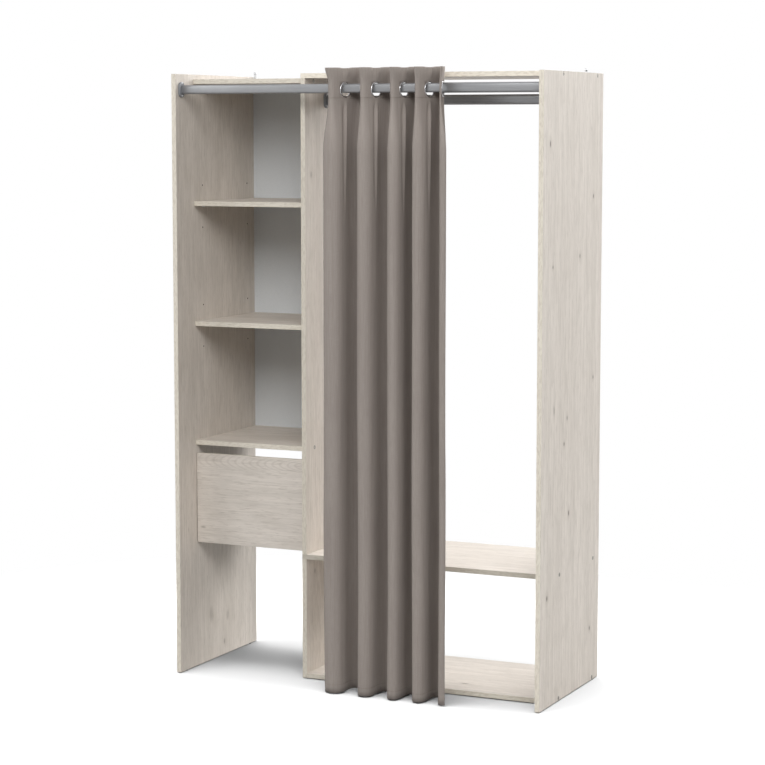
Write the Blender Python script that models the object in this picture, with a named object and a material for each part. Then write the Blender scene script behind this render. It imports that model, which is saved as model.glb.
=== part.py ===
"""A tall open wardrobe: a shelf bay with a drawer, a hanging bay, and an eyelet curtain on a rod.

Sizes are in metres. Pieces are drawn in the cabinet's own corner frame: X runs right from the left
panel's outer face, Y runs back from the side panels' front edges and Z runs up from the floor. The
finished part stands with its origin under the middle of its outer box.
"""
import math

import bmesh
import bpy
from mathutils import Matrix, Vector

# Cabinet
CABINET_WIDTH = 1.322
CABINET_HEIGHT = 2.030
CABINET_DEPTH = 0.550
BOARD = 0.016
TOUCH = 0.0003
OVERRUN = 0.004
SHARP_ANGLE = math.radians(40)
LEFT_BAY_WIDTH = 0.409
BAY_SETBACK = 0.110
SHELF_SETBACK = 0.008

# Shelves
HANGING_SHELF_HEIGHT = 0.410
FIXED_SHELF_HEIGHT = 0.774
SHELF_PITCH = 0.4075
SHELF_END_GAP = 0.0008

# Back panel behind the shelf bay
BACK_THICKNESS = 0.003
BACK_INSET = 0.001

# Glides under the upright boards
GLIDE_HEIGHT = 0.003
GLIDE_RADIUS = 0.0075
GLIDE_NAIL_RADIUS = 0.0012
GLIDE_NAIL_LENGTH = 0.014
GLIDE_INSET = 0.045
GLIDE_SIDES = 12

# Panel screws, with a flat head and a socket
PANEL_SCREW_HEAD_RADIUS = 0.0070
PANEL_SCREW_HEAD_HEIGHT = 0.0025
PANEL_SCREW_SHANK_RADIUS = 0.0030
PANEL_SCREW_LENGTH = 0.045
PANEL_SCREW_SOCKET_RADIUS = 0.0021
PANEL_SCREW_SOCKET_DEPTH = 0.0018
PANEL_SCREW_SIDES = 10
PANEL_SCREW_FRONT_INSET = 0.064
PANEL_SCREW_BACK_INSET = 0.056

# Dowels between the two lengths of the divider
DOWEL_RADIUS = 0.004
DOWEL_LENGTH = 0.060
DOWEL_INSET = 0.100
DOWEL_SIDES = 10

# Shelf pins and their rows of holes
PIN_RADIUS = 0.0025
PIN_HOLD = 0.009
PIN_REACH = 0.008
PIN_FRONT_INSET = 0.059
PIN_BACK_INSET = 0.052
PIN_SPARE_STEP = 0.0715
PIN_SIDES = 8

# Small wood screws of the cups, wall brackets and drawer runners
SMALL_SCREW_HEAD_RADIUS = 0.0030
SMALL_SCREW_HEAD_HEIGHT = 0.0018
SMALL_SCREW_SHANK_RADIUS = 0.0015
SMALL_SCREW_HOLD = 0.010
SMALL_SCREW_SIDES = 8

# Drawer
DRAWER_FRONT_BOTTOM = 0.436
DRAWER_FRONT_TOP = 0.745
DRAWER_FRONT_GAP = 0.0025
DRAWER_BOARD = 0.012
DRAWER_BOX_BOTTOM = 0.452
DRAWER_BOX_TOP = 0.612
DRAWER_BOX_LENGTH = 0.400
DRAWER_PANEL_THICKNESS = 0.003
DRAWER_PANEL_HEIGHT = 0.008
DRAWER_GROOVE_DEPTH = 0.005
DRAWER_DOWEL_INSET_SHARE = 0.1875
DRAWER_DOWEL_RADIUS = 0.003
DRAWER_DOWEL_REACH = 0.010

# Drawer runners: strips on the bay's sides that ride in grooves of the drawer's sides
RUNNER_GAP = 0.003
RUNNER_THICKNESS = 0.0085
RUNNER_HEIGHT = 0.010
RUNNER_CLEARANCE = 0.0006
RUNNER_UNDER_GAP = 0.0010
RUNNER_FRONT_INSET = 0.012
RUNNER_LENGTH = 0.380
RUNNER_STOP_GAP = 0.001
RUNNER_SCREW_INSET = 0.020

# Oval tubes of the curtain rod and of the hanging rail
INNER_TUBE_HEIGHT = 0.030
INNER_TUBE_DEPTH = 0.015
TUBE_WALL = 0.0012
TUBE_ARC_STEPS = 6
OUTER_TUBE_HEIGHT = INNER_TUBE_HEIGHT + 2 * (TUBE_WALL + TOUCH)
OUTER_TUBE_DEPTH = INNER_TUBE_DEPTH + 2 * (TUBE_WALL + TOUCH)
ROD_DROP = 0.052
ROD_SETBACK = 0.033
ROD_OUTER_LENGTH = 0.343
RAIL_DROP = 0.087
RAIL_SETBACK = 0.265
RAIL_OUTER_LENGTH = 0.506
TUBE_OVERLAP = 0.180

# End cups of the tubes
CUP_HEIGHT = 0.051
CUP_DEPTH = 0.033
CUP_THICKNESS = 0.007
CUP_BASE = 0.002
CUP_SCREW_RISE = 0.0205

# Wall brackets
BRACKET_WIDTH = 0.012
BRACKET_THICKNESS = 0.0015
BRACKET_RISE = 0.033
BRACKET_FOOT = 0.030
BRACKET_HOLE_RADIUS = 0.0026
BRACKET_HOLE_DROP = 0.007
BRACKET_HOLE_SIDES = 10
BRACKET_SCREW_INSET = 0.010
LEFT_BRACKET_GAP = 0.0006
RIGHT_BRACKET_INSET = 0.044

# Curtain
CLOTH_THICKNESS = 0.0016
CURTAIN_HEAD_RISE = 0.0665
CURTAIN_HEM = 0.004
GATHERED_WIDTH = 0.392
CURTAIN_SIDE_GAP = 0.159
FOLD_SHARES = (0, 0.133, 0.284, 0.408, 0.551, 0.643, 0.765, 0.880, 1)
FOLD_START_SHARE = -0.40
FOLD_END_SHARE = 0.10
FOLD_DEPTH = 0.050
FOLD_STEPS = 6
# The left edge spreads past its fold, and the right edge is drawn in at the rod
LEFT_EDGE_SPREAD = 0.042
LEFT_EDGE_HELD_SHARE = 0.32
RIGHT_EDGE_DRAW = 0.023
HEM_SETBACK = 0.002
HEM_SHIFT = 0.013
FOLD_FREE_DROP = 0.200
FOLD_HELD_DROP = 0.034
CURTAIN_ROW_SHARES = (0, 0.30, 0.50, 0.72, 1)

# Eyelets
EYELET_INNER_RADIUS = 0.0215
EYELET_OUTER_RADIUS = 0.0250
EYELET_THICKNESS = 0.004
EYELET_ROUND_SHARE = 0.5
EYELET_SIDES = 20

# Places worked out from the sizes above
RIGHT_INNER = CABINET_WIDTH - BOARD
DIVIDER_LEFT = BOARD + LEFT_BAY_WIDTH
DIVIDER_RIGHT = DIVIDER_LEFT + BOARD
DIVIDER_MIDDLE = (DIVIDER_LEFT + DIVIDER_RIGHT) / 2
SHELF_FRONT = BAY_SETBACK + SHELF_SETBACK
RIGHT_TOP_HEIGHT = CABINET_HEIGHT - BOARD
LEFT_TOP_HEIGHT = RIGHT_TOP_HEIGHT - BOARD
PANEL_SCREW_PLACES = (BAY_SETBACK + PANEL_SCREW_FRONT_INSET, CABINET_DEPTH - PANEL_SCREW_BACK_INSET)
BACK_FACE = CABINET_DEPTH + TOUCH + BACK_THICKNESS
DRAWER_BACK_OF_FRONT = SHELF_FRONT + BOARD
DRAWER_BOX_FRONT = DRAWER_BACK_OF_FRONT + TOUCH
DRAWER_BOX_END = DRAWER_BOX_FRONT + DRAWER_BOX_LENGTH
DRAWER_SIDE_LEFTS = (BOARD + RUNNER_GAP, DIVIDER_LEFT - RUNNER_GAP - DRAWER_BOARD)
DRAWER_INNER_LEFT = DRAWER_SIDE_LEFTS[0] + DRAWER_BOARD
DRAWER_INNER_RIGHT = DRAWER_SIDE_LEFTS[1]
DRAWER_PANEL_BOTTOM = DRAWER_BOX_BOTTOM + DRAWER_PANEL_HEIGHT
DRAWER_PANEL_TOP = DRAWER_PANEL_BOTTOM + DRAWER_PANEL_THICKNESS
RUNNER_MIDDLE = (DRAWER_BOX_BOTTOM + DRAWER_BOX_TOP) / 2
RUNNER_START = DRAWER_BOX_FRONT + RUNNER_FRONT_INSET
ROD_HEIGHT = CABINET_HEIGHT - ROD_DROP
ROD_OUTER_START = RIGHT_INNER - ROD_OUTER_LENGTH
RAIL_HEIGHT = CABINET_HEIGHT - RAIL_DROP
RAIL_OUTER_START = RIGHT_INNER - RAIL_OUTER_LENGTH
FIRST_FOLD_X = DIVIDER_RIGHT + CURTAIN_SIDE_GAP
CURTAIN_TOP = ROD_HEIGHT + CURTAIN_HEAD_RISE
FOLD_FREE_HEIGHT = ROD_HEIGHT - FOLD_FREE_DROP
FOLD_HELD_HEIGHT = ROD_HEIGHT - FOLD_HELD_DROP
HALF_FOLDS = len(FOLD_SHARES) - 1
EYELET_HEIGHT = ROD_HEIGHT + OUTER_TUBE_HEIGHT / 2 + TOUCH - EYELET_INNER_RADIUS
CURTAIN_FRONT = HEM_SETBACK - FOLD_DEPTH - CLOTH_THICKNESS / 2
ORIGIN = Vector((CABINET_WIDTH / 2, (CURTAIN_FRONT + BACK_FACE) / 2, 0))

# Directions
RIGHT = Vector((1, 0, 0))
LEFT = -RIGHT
BACK = Vector((0, 1, 0))
UP = Vector((0, 0, 1))
DOWN = -UP


def clear_scene():
    for obj in list(bpy.data.objects):
        bpy.data.objects.remove(obj, do_unlink=True)


def finish(name, colour, roughness, metallic=0.0):
    material = bpy.data.materials.new(name)
    material.use_nodes = True
    shader = material.node_tree.nodes["Principled BSDF"]
    shader.inputs["Base Color"].default_value = (*colour, 1.0)
    shader.inputs["Roughness"].default_value = roughness
    shader.inputs["Metallic"].default_value = metallic
    material.diffuse_color = (*colour, 1.0)
    return material


def finishes():
    return {
        "wood": finish("pale_wood_board", (0.62, 0.57, 0.51), 0.6),
        "white": finish("white_back_board", (0.82, 0.82, 0.81), 0.7),
        "drawer_box": finish("white_drawer_board", (0.78, 0.77, 0.75), 0.6),
        "tube": finish("grey_tube", (0.32, 0.34, 0.35), 0.35, 0.7),
        "cup": finish("grey_plastic", (0.27, 0.28, 0.30), 0.5),
        "zinc": finish("zinc_steel", (0.45, 0.46, 0.47), 0.35, 1.0),
        "chrome": finish("bright_eyelet", (0.66, 0.66, 0.67), 0.2, 1.0),
        "dowel": finish("beech_dowel", (0.60, 0.45, 0.30), 0.7),
        "plastic": finish("pale_plastic", (0.75, 0.74, 0.72), 0.5),
        "glide": finish("dark_plastic", (0.05, 0.05, 0.05), 0.6),
        "cloth": finish("taupe_cloth", (0.24, 0.20, 0.18), 0.9),
    }


def group_empty(name, place, parent=None):
    empty = bpy.data.objects.new(name, None)
    bpy.context.scene.collection.objects.link(empty)
    empty.location = place
    empty.parent = parent
    return empty


def new_mesh(name, bm, material, smooth=False):
    bmesh.ops.recalc_face_normals(bm, faces=bm.faces)
    mesh = bpy.data.meshes.new(name)
    bm.to_mesh(mesh)
    bm.free()
    mesh.materials.append(material)
    if smooth:
        mesh.shade_smooth()
        mesh.set_sharp_from_angle(angle=SHARP_ANGLE)
    return mesh


def add_object(name, mesh, group, place=Matrix()):
    """A sub-part under its group's empty, at a place in the cabinet's frame."""
    obj = bpy.data.objects.new(name, mesh)
    bpy.context.scene.collection.objects.link(obj)
    obj.parent = group
    shift = group.location if group.parent else Vector()
    obj.matrix_local = Matrix.Translation(-shift) @ place
    return obj


def add_helper(name, bm, group):
    """A hidden shape that cuts its holes in other sub-parts or joins them."""
    helper = add_object(name, new_mesh(name, bm, bpy.data.materials["zinc_steel"]), group)
    helper.hide_render = True
    helper.display_type = "WIRE"
    return helper


def combine(obj, operation, *helpers):
    for helper in helpers:
        modifier = obj.modifiers.new(helper.name, "BOOLEAN")
        modifier.operation = operation
        modifier.object = helper


def cut(obj, *helpers):
    combine(obj, "DIFFERENCE", *helpers)


def join(obj, *helpers):
    combine(obj, "UNION", *helpers)


def add_box(bm, low, high):
    low = Vector(low)
    high = Vector(high)
    place = Matrix.Translation((low + high) / 2) @ Matrix.Diagonal((*(high - low), 1))
    bmesh.ops.create_cube(bm, size=1, matrix=place)


def board(name, low, high, material, group, *cutters):
    bm = bmesh.new()
    add_box(bm, low, high)
    obj = add_object(name, new_mesh(name, bm, material), group)
    cut(obj, *cutters)
    return obj


def placed(at, along, side=UP):
    """Turns a profile's height onto `along`, with its first points towards `side`."""
    matrix = Matrix((side, along.cross(side), along)).transposed().to_4x4()
    matrix.translation = at
    return matrix


def add_turned(bm, profile, sides, place):
    """A body turned from (radius, height) points, which start and end on the axis or meet in a ring."""
    points = [bm.verts.new((radius, 0, height)) for radius, height in profile]
    lines = [bm.edges.new(pair) for pair in zip(points, points[1:])]
    if profile[0][0] > 0:
        lines.append(bm.edges.new((points[-1], points[0])))
    spun = bmesh.ops.spin(
        bm, geom=points + lines, axis=UP, cent=(0, 0, 0), angle=2 * math.pi, steps=sides, use_merge=True
    )
    verts = {vert for item in spun["geom_last"] + lines + points for vert in linked_verts(item)}
    bmesh.ops.transform(bm, matrix=place, verts=list(verts))
    bmesh.ops.remove_doubles(bm, verts=list(verts), dist=TOUCH / 100)


def linked_verts(item):
    """Every vertex of the connected shape that holds a vertex or an edge."""
    if not item.is_valid:
        return set()
    start = item if isinstance(item, bmesh.types.BMVert) else item.verts[0]
    found = {start}
    waiting = [start]
    while waiting:
        for edge in waiting.pop().link_edges:
            for vert in edge.verts:
                if vert not in found:
                    found.add(vert)
                    waiting.append(vert)
    return found


def add_loft(bm, rings, closed=False):
    """A body through rings of points, capped at both ends or joined end to end."""
    loops = [[bm.verts.new(point) for point in ring] for ring in rings]
    pairs = list(zip(loops, loops[1:]))
    if closed:
        pairs.append((loops[-1], loops[0]))
    for near, far in pairs:
        for i, vert in enumerate(near):
            j = (i + 1) % len(near)
            bm.faces.new((vert, near[j], far[j], far[i]))
    if not closed:
        bm.faces.new(loops[0])
        bm.faces.new(loops[-1])


def oval(height, depth):
    """The (y, z) outline of an upright oval with straight sides and round ends."""
    radius = depth / 2
    rise = height / 2 - radius
    points = []
    for centre, start in ((rise, 0), (-rise, math.pi)):
        for step in range(TUBE_ARC_STEPS + 1):
            angle = start + math.pi * step / TUBE_ARC_STEPS
            points.append((radius * math.cos(angle), centre + radius * math.sin(angle)))
    return points


def ring_at(x, outline, y, z):
    return [(x, y + across, z + up) for across, up in outline]


def pin_profile(radius, start, end):
    return ((0, start), (radius, start), (radius, end), (0, end))


def fasteners(names, profile, hole, sides, places, material, group, spare_places=()):
    """Equal fasteners that share a mesh, and the helper that cuts their holes."""
    shape = bmesh.new()
    add_turned(shape, profile, sides, Matrix())
    mesh = new_mesh(names[0], shape, material, smooth=True)
    for name, place in zip(names, places):
        add_object(name, mesh, group, place)
    holes = bmesh.new()
    for place in (*places, *spare_places):
        add_turned(holes, hole, sides, place)
    return add_helper(f"{names[0]}_holes", holes, group)


def right_panel_screws(skin, cabinet):
    """Flat-head screws from the right panel's outer face into the ends of three boards."""
    names = []
    places = []
    levels = (("top", RIGHT_TOP_HEIGHT), ("shelf", HANGING_SHELF_HEIGHT), ("bottom", GLIDE_HEIGHT))
    for level, height in levels:
        for end, y in zip(("front", "back"), PANEL_SCREW_PLACES):
            names.append(f"right_panel_screw_{level}_{end}")
            places.append(placed((CABINET_WIDTH, y, height + BOARD / 2), LEFT))
    profile = (
        (0, PANEL_SCREW_SOCKET_DEPTH),
        (PANEL_SCREW_SOCKET_RADIUS, PANEL_SCREW_SOCKET_DEPTH),
        (PANEL_SCREW_SOCKET_RADIUS, 0),
        (PANEL_SCREW_HEAD_RADIUS, 0),
        (PANEL_SCREW_HEAD_RADIUS, PANEL_SCREW_HEAD_HEIGHT),
        (PANEL_SCREW_SHANK_RADIUS, PANEL_SCREW_HEAD_HEIGHT),
        (PANEL_SCREW_SHANK_RADIUS, PANEL_SCREW_LENGTH),
        (0, PANEL_SCREW_LENGTH),
    )
    seat = PANEL_SCREW_HEAD_HEIGHT + TOUCH
    hole = (
        (0, -OVERRUN),
        (PANEL_SCREW_HEAD_RADIUS + TOUCH, -OVERRUN),
        (PANEL_SCREW_HEAD_RADIUS + TOUCH, seat),
        (PANEL_SCREW_SHANK_RADIUS + TOUCH, seat),
        (PANEL_SCREW_SHANK_RADIUS + TOUCH, PANEL_SCREW_LENGTH + TOUCH),
        (0, PANEL_SCREW_LENGTH + TOUCH),
    )
    return fasteners(names, profile, hole, PANEL_SCREW_SIDES, places, skin["zinc"], cabinet)


def divider_dowels(skin, cabinet):
    """Dowels that run from the lower divider through the shelf into the upper divider."""
    middle = HANGING_SHELF_HEIGHT + BOARD / 2
    ends = (BAY_SETBACK + DOWEL_INSET, CABINET_DEPTH - DOWEL_INSET)
    places = [placed((DIVIDER_MIDDLE, y, middle), UP, RIGHT) for y in ends]
    profile = pin_profile(DOWEL_RADIUS, -DOWEL_LENGTH / 2, DOWEL_LENGTH / 2)
    hole = pin_profile(DOWEL_RADIUS + TOUCH, -DOWEL_LENGTH / 2 - TOUCH, DOWEL_LENGTH / 2 + TOUCH)
    names = ("divider_dowel_front", "divider_dowel_back")
    return fasteners(names, profile, hole, DOWEL_SIDES, places, skin["dowel"], cabinet)


def shelf_pins(skin, cabinet):
    """Four pins under each loose shelf, with a spare hole above and below each."""
    names = []
    used = []
    spare = []
    ends = (("front", SHELF_FRONT + PIN_FRONT_INSET), ("back", CABINET_DEPTH - PIN_BACK_INSET))
    sides = (("left", BOARD, RIGHT), ("right", DIVIDER_LEFT, LEFT))
    for step, shelf in enumerate(("middle", "upper"), start=1):
        height = FIXED_SHELF_HEIGHT + step * SHELF_PITCH - TOUCH - PIN_RADIUS
        for end, y in ends:
            for side, x, way in sides:
                names.append(f"{shelf}_shelf_pin_{side}_{end}")
                used.append(placed((x, y, height), way))
                spare.append(placed((x, y, height + PIN_SPARE_STEP), way))
                spare.append(placed((x, y, height - PIN_SPARE_STEP), way))
    profile = pin_profile(PIN_RADIUS, -PIN_HOLD, PIN_REACH)
    hole = pin_profile(PIN_RADIUS + TOUCH, -PIN_HOLD - TOUCH, OVERRUN)
    return fasteners(names, profile, hole, PIN_SIDES, used, skin["zinc"], cabinet, spare)


def floor_glides(skin, cabinet):
    """Nailed glides under the two side panels and the lower divider."""
    names = []
    places = []
    uprights = (
        ("left_panel", BOARD / 2, 0),
        ("divider", DIVIDER_MIDDLE, BAY_SETBACK),
        ("right_panel", CABINET_WIDTH - BOARD / 2, 0),
    )
    for upright, x, front in uprights:
        for end, y in (("front", front + GLIDE_INSET), ("back", CABINET_DEPTH - GLIDE_INSET)):
            names.append(f"{upright}_glide_{end}")
            places.append(placed((x, y, 0), UP, RIGHT))
    top = GLIDE_HEIGHT - TOUCH
    profile = (
        (0, 0),
        (GLIDE_RADIUS, 0),
        (GLIDE_RADIUS, top),
        (GLIDE_NAIL_RADIUS, top),
        (GLIDE_NAIL_RADIUS, top + GLIDE_NAIL_LENGTH),
        (0, top + GLIDE_NAIL_LENGTH),
    )
    hole = pin_profile(GLIDE_NAIL_RADIUS + TOUCH, 0, GLIDE_HEIGHT + GLIDE_NAIL_LENGTH)
    return fasteners(names, profile, hole, GLIDE_SIDES, places, skin["glide"], cabinet)


def fixing_screws(name, places, foot, cabinet, head=True):
    """Wood screws that are one with the fitting they hold, and the helper of their holes in the boards.

    A place lies on the board's face and points into it, and the screw's head stands `foot` out of it.
    """
    shank = SMALL_SCREW_SHANK_RADIUS
    profile = pin_profile(shank, -foot, SMALL_SCREW_HOLD)
    if head:
        profile = (
            (0, -foot - SMALL_SCREW_HEAD_HEIGHT),
            (SMALL_SCREW_HEAD_RADIUS, -foot - SMALL_SCREW_HEAD_HEIGHT),
            (SMALL_SCREW_HEAD_RADIUS, TOUCH - foot),
            (shank, TOUCH - foot),
            (shank, SMALL_SCREW_HOLD),
            (0, SMALL_SCREW_HOLD),
        )
    bodies = bmesh.new()
    holes = bmesh.new()
    hole = pin_profile(shank + TOUCH, -OVERRUN, SMALL_SCREW_HOLD + TOUCH)
    for place in places:
        add_turned(bodies, profile, SMALL_SCREW_SIDES, place)
        add_turned(holes, hole, SMALL_SCREW_SIDES, place)
    return add_helper(name, bodies, cabinet), add_helper(f"{name}_holes", holes, cabinet)


def tube(name, start, end, height, depth, y, z, skin, cabinet):
    outer = oval(height, depth)
    inner = oval(height - 2 * TUBE_WALL, depth - 2 * TUBE_WALL)
    bm = bmesh.new()
    rings = [ring_at(start, outer, y, z), ring_at(end, outer, y, z)]
    rings += [ring_at(end, inner, y, z), ring_at(start, inner, y, z)]
    add_loft(bm, rings, closed=True)
    add_object(name, new_mesh(name, bm, skin["tube"], smooth=True), cabinet)


def cup(name, wall, way, tube_height, tube_depth, y, z, skin, cabinet):
    """An oval cup with its two screws: `wall` is the board's face and `way` points out of it."""
    outer = oval(CUP_HEIGHT, CUP_DEPTH)
    pocket = oval(tube_height + 2 * TOUCH, tube_depth + 2 * TOUCH)
    foot = wall + way.x * TOUCH
    face = foot + way.x * CUP_THICKNESS
    floor = foot + way.x * CUP_BASE
    bm = bmesh.new()
    rings = [ring_at(foot, outer, y, z), ring_at(face, outer, y, z)]
    rings += [ring_at(face, pocket, y, z), ring_at(floor, pocket, y, z)]
    add_loft(bm, rings)
    body = add_object(name, new_mesh(name, bm, skin["cup"], smooth=True), cabinet)
    places = [placed((wall, y, z + rise), -way) for rise in (CUP_SCREW_RISE, -CUP_SCREW_RISE)]
    screws, holes = fixing_screws(f"{name}_screws", places, TOUCH + CUP_THICKNESS, cabinet)
    join(body, screws)
    return holes


def telescopic_rail(name, left_face, right_face, outer_start, y, z, skin, cabinet):
    """A thin tube that slides into a fat one between two cups, and the cups' holes in each board."""
    seat = TOUCH + CUP_BASE + TOUCH
    thin = (INNER_TUBE_HEIGHT, INNER_TUBE_DEPTH)
    fat = (OUTER_TUBE_HEIGHT, OUTER_TUBE_DEPTH)
    tube(f"{name}_inner_tube", left_face + seat, outer_start + TUBE_OVERLAP, *thin, y, z, skin, cabinet)
    tube(f"{name}_outer_tube", outer_start, right_face - seat, *fat, y, z, skin, cabinet)
    left_holes = cup(f"{name}_left_cup", left_face, RIGHT, *thin, y, z, skin, cabinet)
    right_holes = cup(f"{name}_right_cup", right_face, LEFT, *fat, y, z, skin, cabinet)
    return left_holes, right_holes


def wall_bracket(name, x, foot_bottom, way, skin, cabinet):
    """An angle plate with its foot along a top board, and its leg up against the wall."""
    back = BACK_FACE
    low = foot_bottom
    top = RIGHT_TOP_HEIGHT + BRACKET_RISE
    outline = (
        (back - BRACKET_FOOT, low),
        (back, low),
        (back, top),
        (back - BRACKET_THICKNESS, top),
        (back - BRACKET_THICKNESS, low + BRACKET_THICKNESS),
        (back - BRACKET_FOOT, low + BRACKET_THICKNESS),
    )
    bm = bmesh.new()
    add_loft(bm, [[(end, y, z) for y, z in outline] for end in (x, x + BRACKET_WIDTH)])
    body = add_object(name, new_mesh(name, bm, skin["zinc"]), cabinet)
    middle = x + BRACKET_WIDTH / 2
    hole = bmesh.new()
    profile = pin_profile(BRACKET_HOLE_RADIUS, -OVERRUN, BRACKET_THICKNESS + OVERRUN)
    spot = (middle, back - BRACKET_THICKNESS, top - BRACKET_HOLE_DROP)
    add_turned(hole, profile, BRACKET_HOLE_SIDES, placed(spot, BACK))
    cut(body, add_helper(f"{name}_wall_hole", hole, cabinet))
    screw = placed((middle, back - BRACKET_FOOT + BRACKET_SCREW_INSET, RIGHT_TOP_HEIGHT), way, RIGHT)
    screws, holes = fixing_screws(f"{name}_screw", [screw], TOUCH + BRACKET_THICKNESS, cabinet)
    join(body, screws)
    return holes


def wall_brackets(skin, cabinet):
    """The left foot lies on the left top board, and the right foot under the right top board."""
    left = BOARD + LEFT_BRACKET_GAP
    right = RIGHT_INNER - RIGHT_BRACKET_INSET - BRACKET_WIDTH / 2
    under = RIGHT_TOP_HEIGHT - TOUCH - BRACKET_THICKNESS
    return (
        wall_bracket("left_wall_bracket", left, RIGHT_TOP_HEIGHT + TOUCH, DOWN, skin, cabinet),
        wall_bracket("right_wall_bracket", right, under, UP, skin, cabinet),
    )


def drawer_runner(name, wall, way, skin, cabinet):
    """A strip on one side of the shelf bay, with its two screws sunk flush and one with it."""
    end = RUNNER_START + RUNNER_LENGTH
    low = RUNNER_MIDDLE - RUNNER_HEIGHT / 2
    near = wall + way.x * TOUCH
    far = near + way.x * RUNNER_THICKNESS
    corner = (max(near, far), end, low + RUNNER_HEIGHT)
    strip = board(name, (min(near, far), RUNNER_START, low), corner, skin["plastic"], cabinet)
    ends = (RUNNER_START + RUNNER_SCREW_INSET, end - RUNNER_SCREW_INSET)
    places = [placed((wall, y, RUNNER_MIDDLE), -way) for y in ends]
    screws, holes = fixing_screws(f"{name}_screws", places, RUNNER_THICKNESS / 2, cabinet, head=False)
    join(strip, screws)
    return holes


def uprights(skin, cabinet, holes):
    """The side panels and the two lengths of the divider."""
    wood = skin["wood"]
    rod_left, rod_right = holes["rod"]
    rail_left, rail_right = holes["rail"]
    runner_left, runner_right = holes["runners"]
    board(
        "left_side_panel",
        (0, 0, GLIDE_HEIGHT),
        (BOARD, CABINET_DEPTH, CABINET_HEIGHT),
        wood,
        cabinet,
        holes["pins"],
        holes["glides"],
        rod_left,
        runner_left,
    )
    board(
        "right_side_panel",
        (RIGHT_INNER, 0, GLIDE_HEIGHT),
        (CABINET_WIDTH, CABINET_DEPTH, CABINET_HEIGHT),
        wood,
        cabinet,
        holes["screws"],
        holes["glides"],
        rod_right,
        rail_right,
    )
    board(
        "upper_divider",
        (DIVIDER_LEFT, BAY_SETBACK, HANGING_SHELF_HEIGHT + BOARD + TOUCH),
        (DIVIDER_RIGHT, CABINET_DEPTH, RIGHT_TOP_HEIGHT - TOUCH),
        wood,
        cabinet,
        holes["dowels"],
        holes["pins"],
        rail_left,
        runner_right,
    )
    board(
        "lower_divider",
        (DIVIDER_LEFT, BAY_SETBACK, GLIDE_HEIGHT),
        (DIVIDER_RIGHT, CABINET_DEPTH, HANGING_SHELF_HEIGHT - TOUCH),
        wood,
        cabinet,
        holes["dowels"],
        holes["glides"],
    )


def hanging_bay_boards(skin, cabinet, holes):
    """The right bay's top, its shelf and its bottom, between the divider and the right panel."""
    levels = (
        ("right_top_board", DIVIDER_LEFT, RIGHT_TOP_HEIGHT, (holes["brackets"][1],)),
        ("hanging_space_shelf", DIVIDER_LEFT, HANGING_SHELF_HEIGHT, (holes["dowels"],)),
        ("bottom_shelf", DIVIDER_RIGHT + TOUCH, GLIDE_HEIGHT, ()),
    )
    for name, left, height, more in levels:
        low = (left, BAY_SETBACK, height)
        high = (RIGHT_INNER - TOUCH, CABINET_DEPTH, height + BOARD)
        board(name, low, high, skin["wood"], cabinet, holes["screws"], *more)


def shelf_bay_boards(skin, cabinet, holes):
    """The left bay's top and its shelves, and the thin panel behind them."""
    levels = (
        ("left_top_board", TOUCH, LEFT_TOP_HEIGHT, (holes["brackets"][0],)),
        ("upper_shelf", SHELF_END_GAP, FIXED_SHELF_HEIGHT + 2 * SHELF_PITCH, ()),
        ("middle_shelf", SHELF_END_GAP, FIXED_SHELF_HEIGHT + SHELF_PITCH, ()),
        ("fixed_shelf", TOUCH, FIXED_SHELF_HEIGHT, ()),
    )
    for name, end_gap, height, cutters in levels:
        low = (BOARD + end_gap, SHELF_FRONT, height)
        high = (DIVIDER_LEFT - end_gap, CABINET_DEPTH, height + BOARD)
        board(name, low, high, skin["wood"], cabinet, *cutters)
    low = (BACK_INSET, CABINET_DEPTH + TOUCH, FIXED_SHELF_HEIGHT + BACK_INSET)
    high = (DIVIDER_RIGHT - BACK_INSET, BACK_FACE, RIGHT_TOP_HEIGHT - BACK_INSET)
    board("back_panel", low, high, skin["white"], cabinet)


def carcass(skin, cabinet):
    """Everything that stands still."""
    rod = (ROD_OUTER_START, ROD_SETBACK, ROD_HEIGHT)
    rail = (RAIL_OUTER_START, RAIL_SETBACK, RAIL_HEIGHT)
    holes = {
        "screws": right_panel_screws(skin, cabinet),
        "dowels": divider_dowels(skin, cabinet),
        "pins": shelf_pins(skin, cabinet),
        "glides": floor_glides(skin, cabinet),
        "rod": telescopic_rail("curtain_rod", BOARD, RIGHT_INNER, *rod, skin, cabinet),
        "rail": telescopic_rail("hanging_rail", DIVIDER_RIGHT, RIGHT_INNER, *rail, skin, cabinet),
        "brackets": wall_brackets(skin, cabinet),
        "runners": (
            drawer_runner("left_drawer_runner", BOARD, RIGHT, skin, cabinet),
            drawer_runner("right_drawer_runner", DIVIDER_LEFT, LEFT, skin, cabinet),
        ),
    }
    uprights(skin, cabinet, holes)
    hanging_bay_boards(skin, cabinet, holes)
    shelf_bay_boards(skin, cabinet, holes)


def drawer_dowels(name, left, drawer):
    """Two dowels glued in the front end of a drawer side, and the helper of their holes."""
    bodies = bmesh.new()
    holes = bmesh.new()
    dowel = pin_profile(DRAWER_DOWEL_RADIUS, -DRAWER_DOWEL_REACH, OVERRUN)
    hole = pin_profile(DRAWER_DOWEL_RADIUS + TOUCH, -DRAWER_DOWEL_REACH - TOUCH, OVERRUN)
    inset = DRAWER_DOWEL_INSET_SHARE * (DRAWER_BOX_TOP - DRAWER_BOX_BOTTOM)
    for z in (DRAWER_BOX_BOTTOM + inset, DRAWER_BOX_TOP - inset):
        place = placed((left + DRAWER_BOARD / 2, DRAWER_BACK_OF_FRONT, z), BACK)
        add_turned(bodies, dowel, DOWEL_SIDES, place)
        add_turned(holes, hole, DOWEL_SIDES, place)
    return add_helper(f"{name}_dowels", bodies, drawer), add_helper(f"{name}_dowel_holes", holes, drawer)


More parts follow.
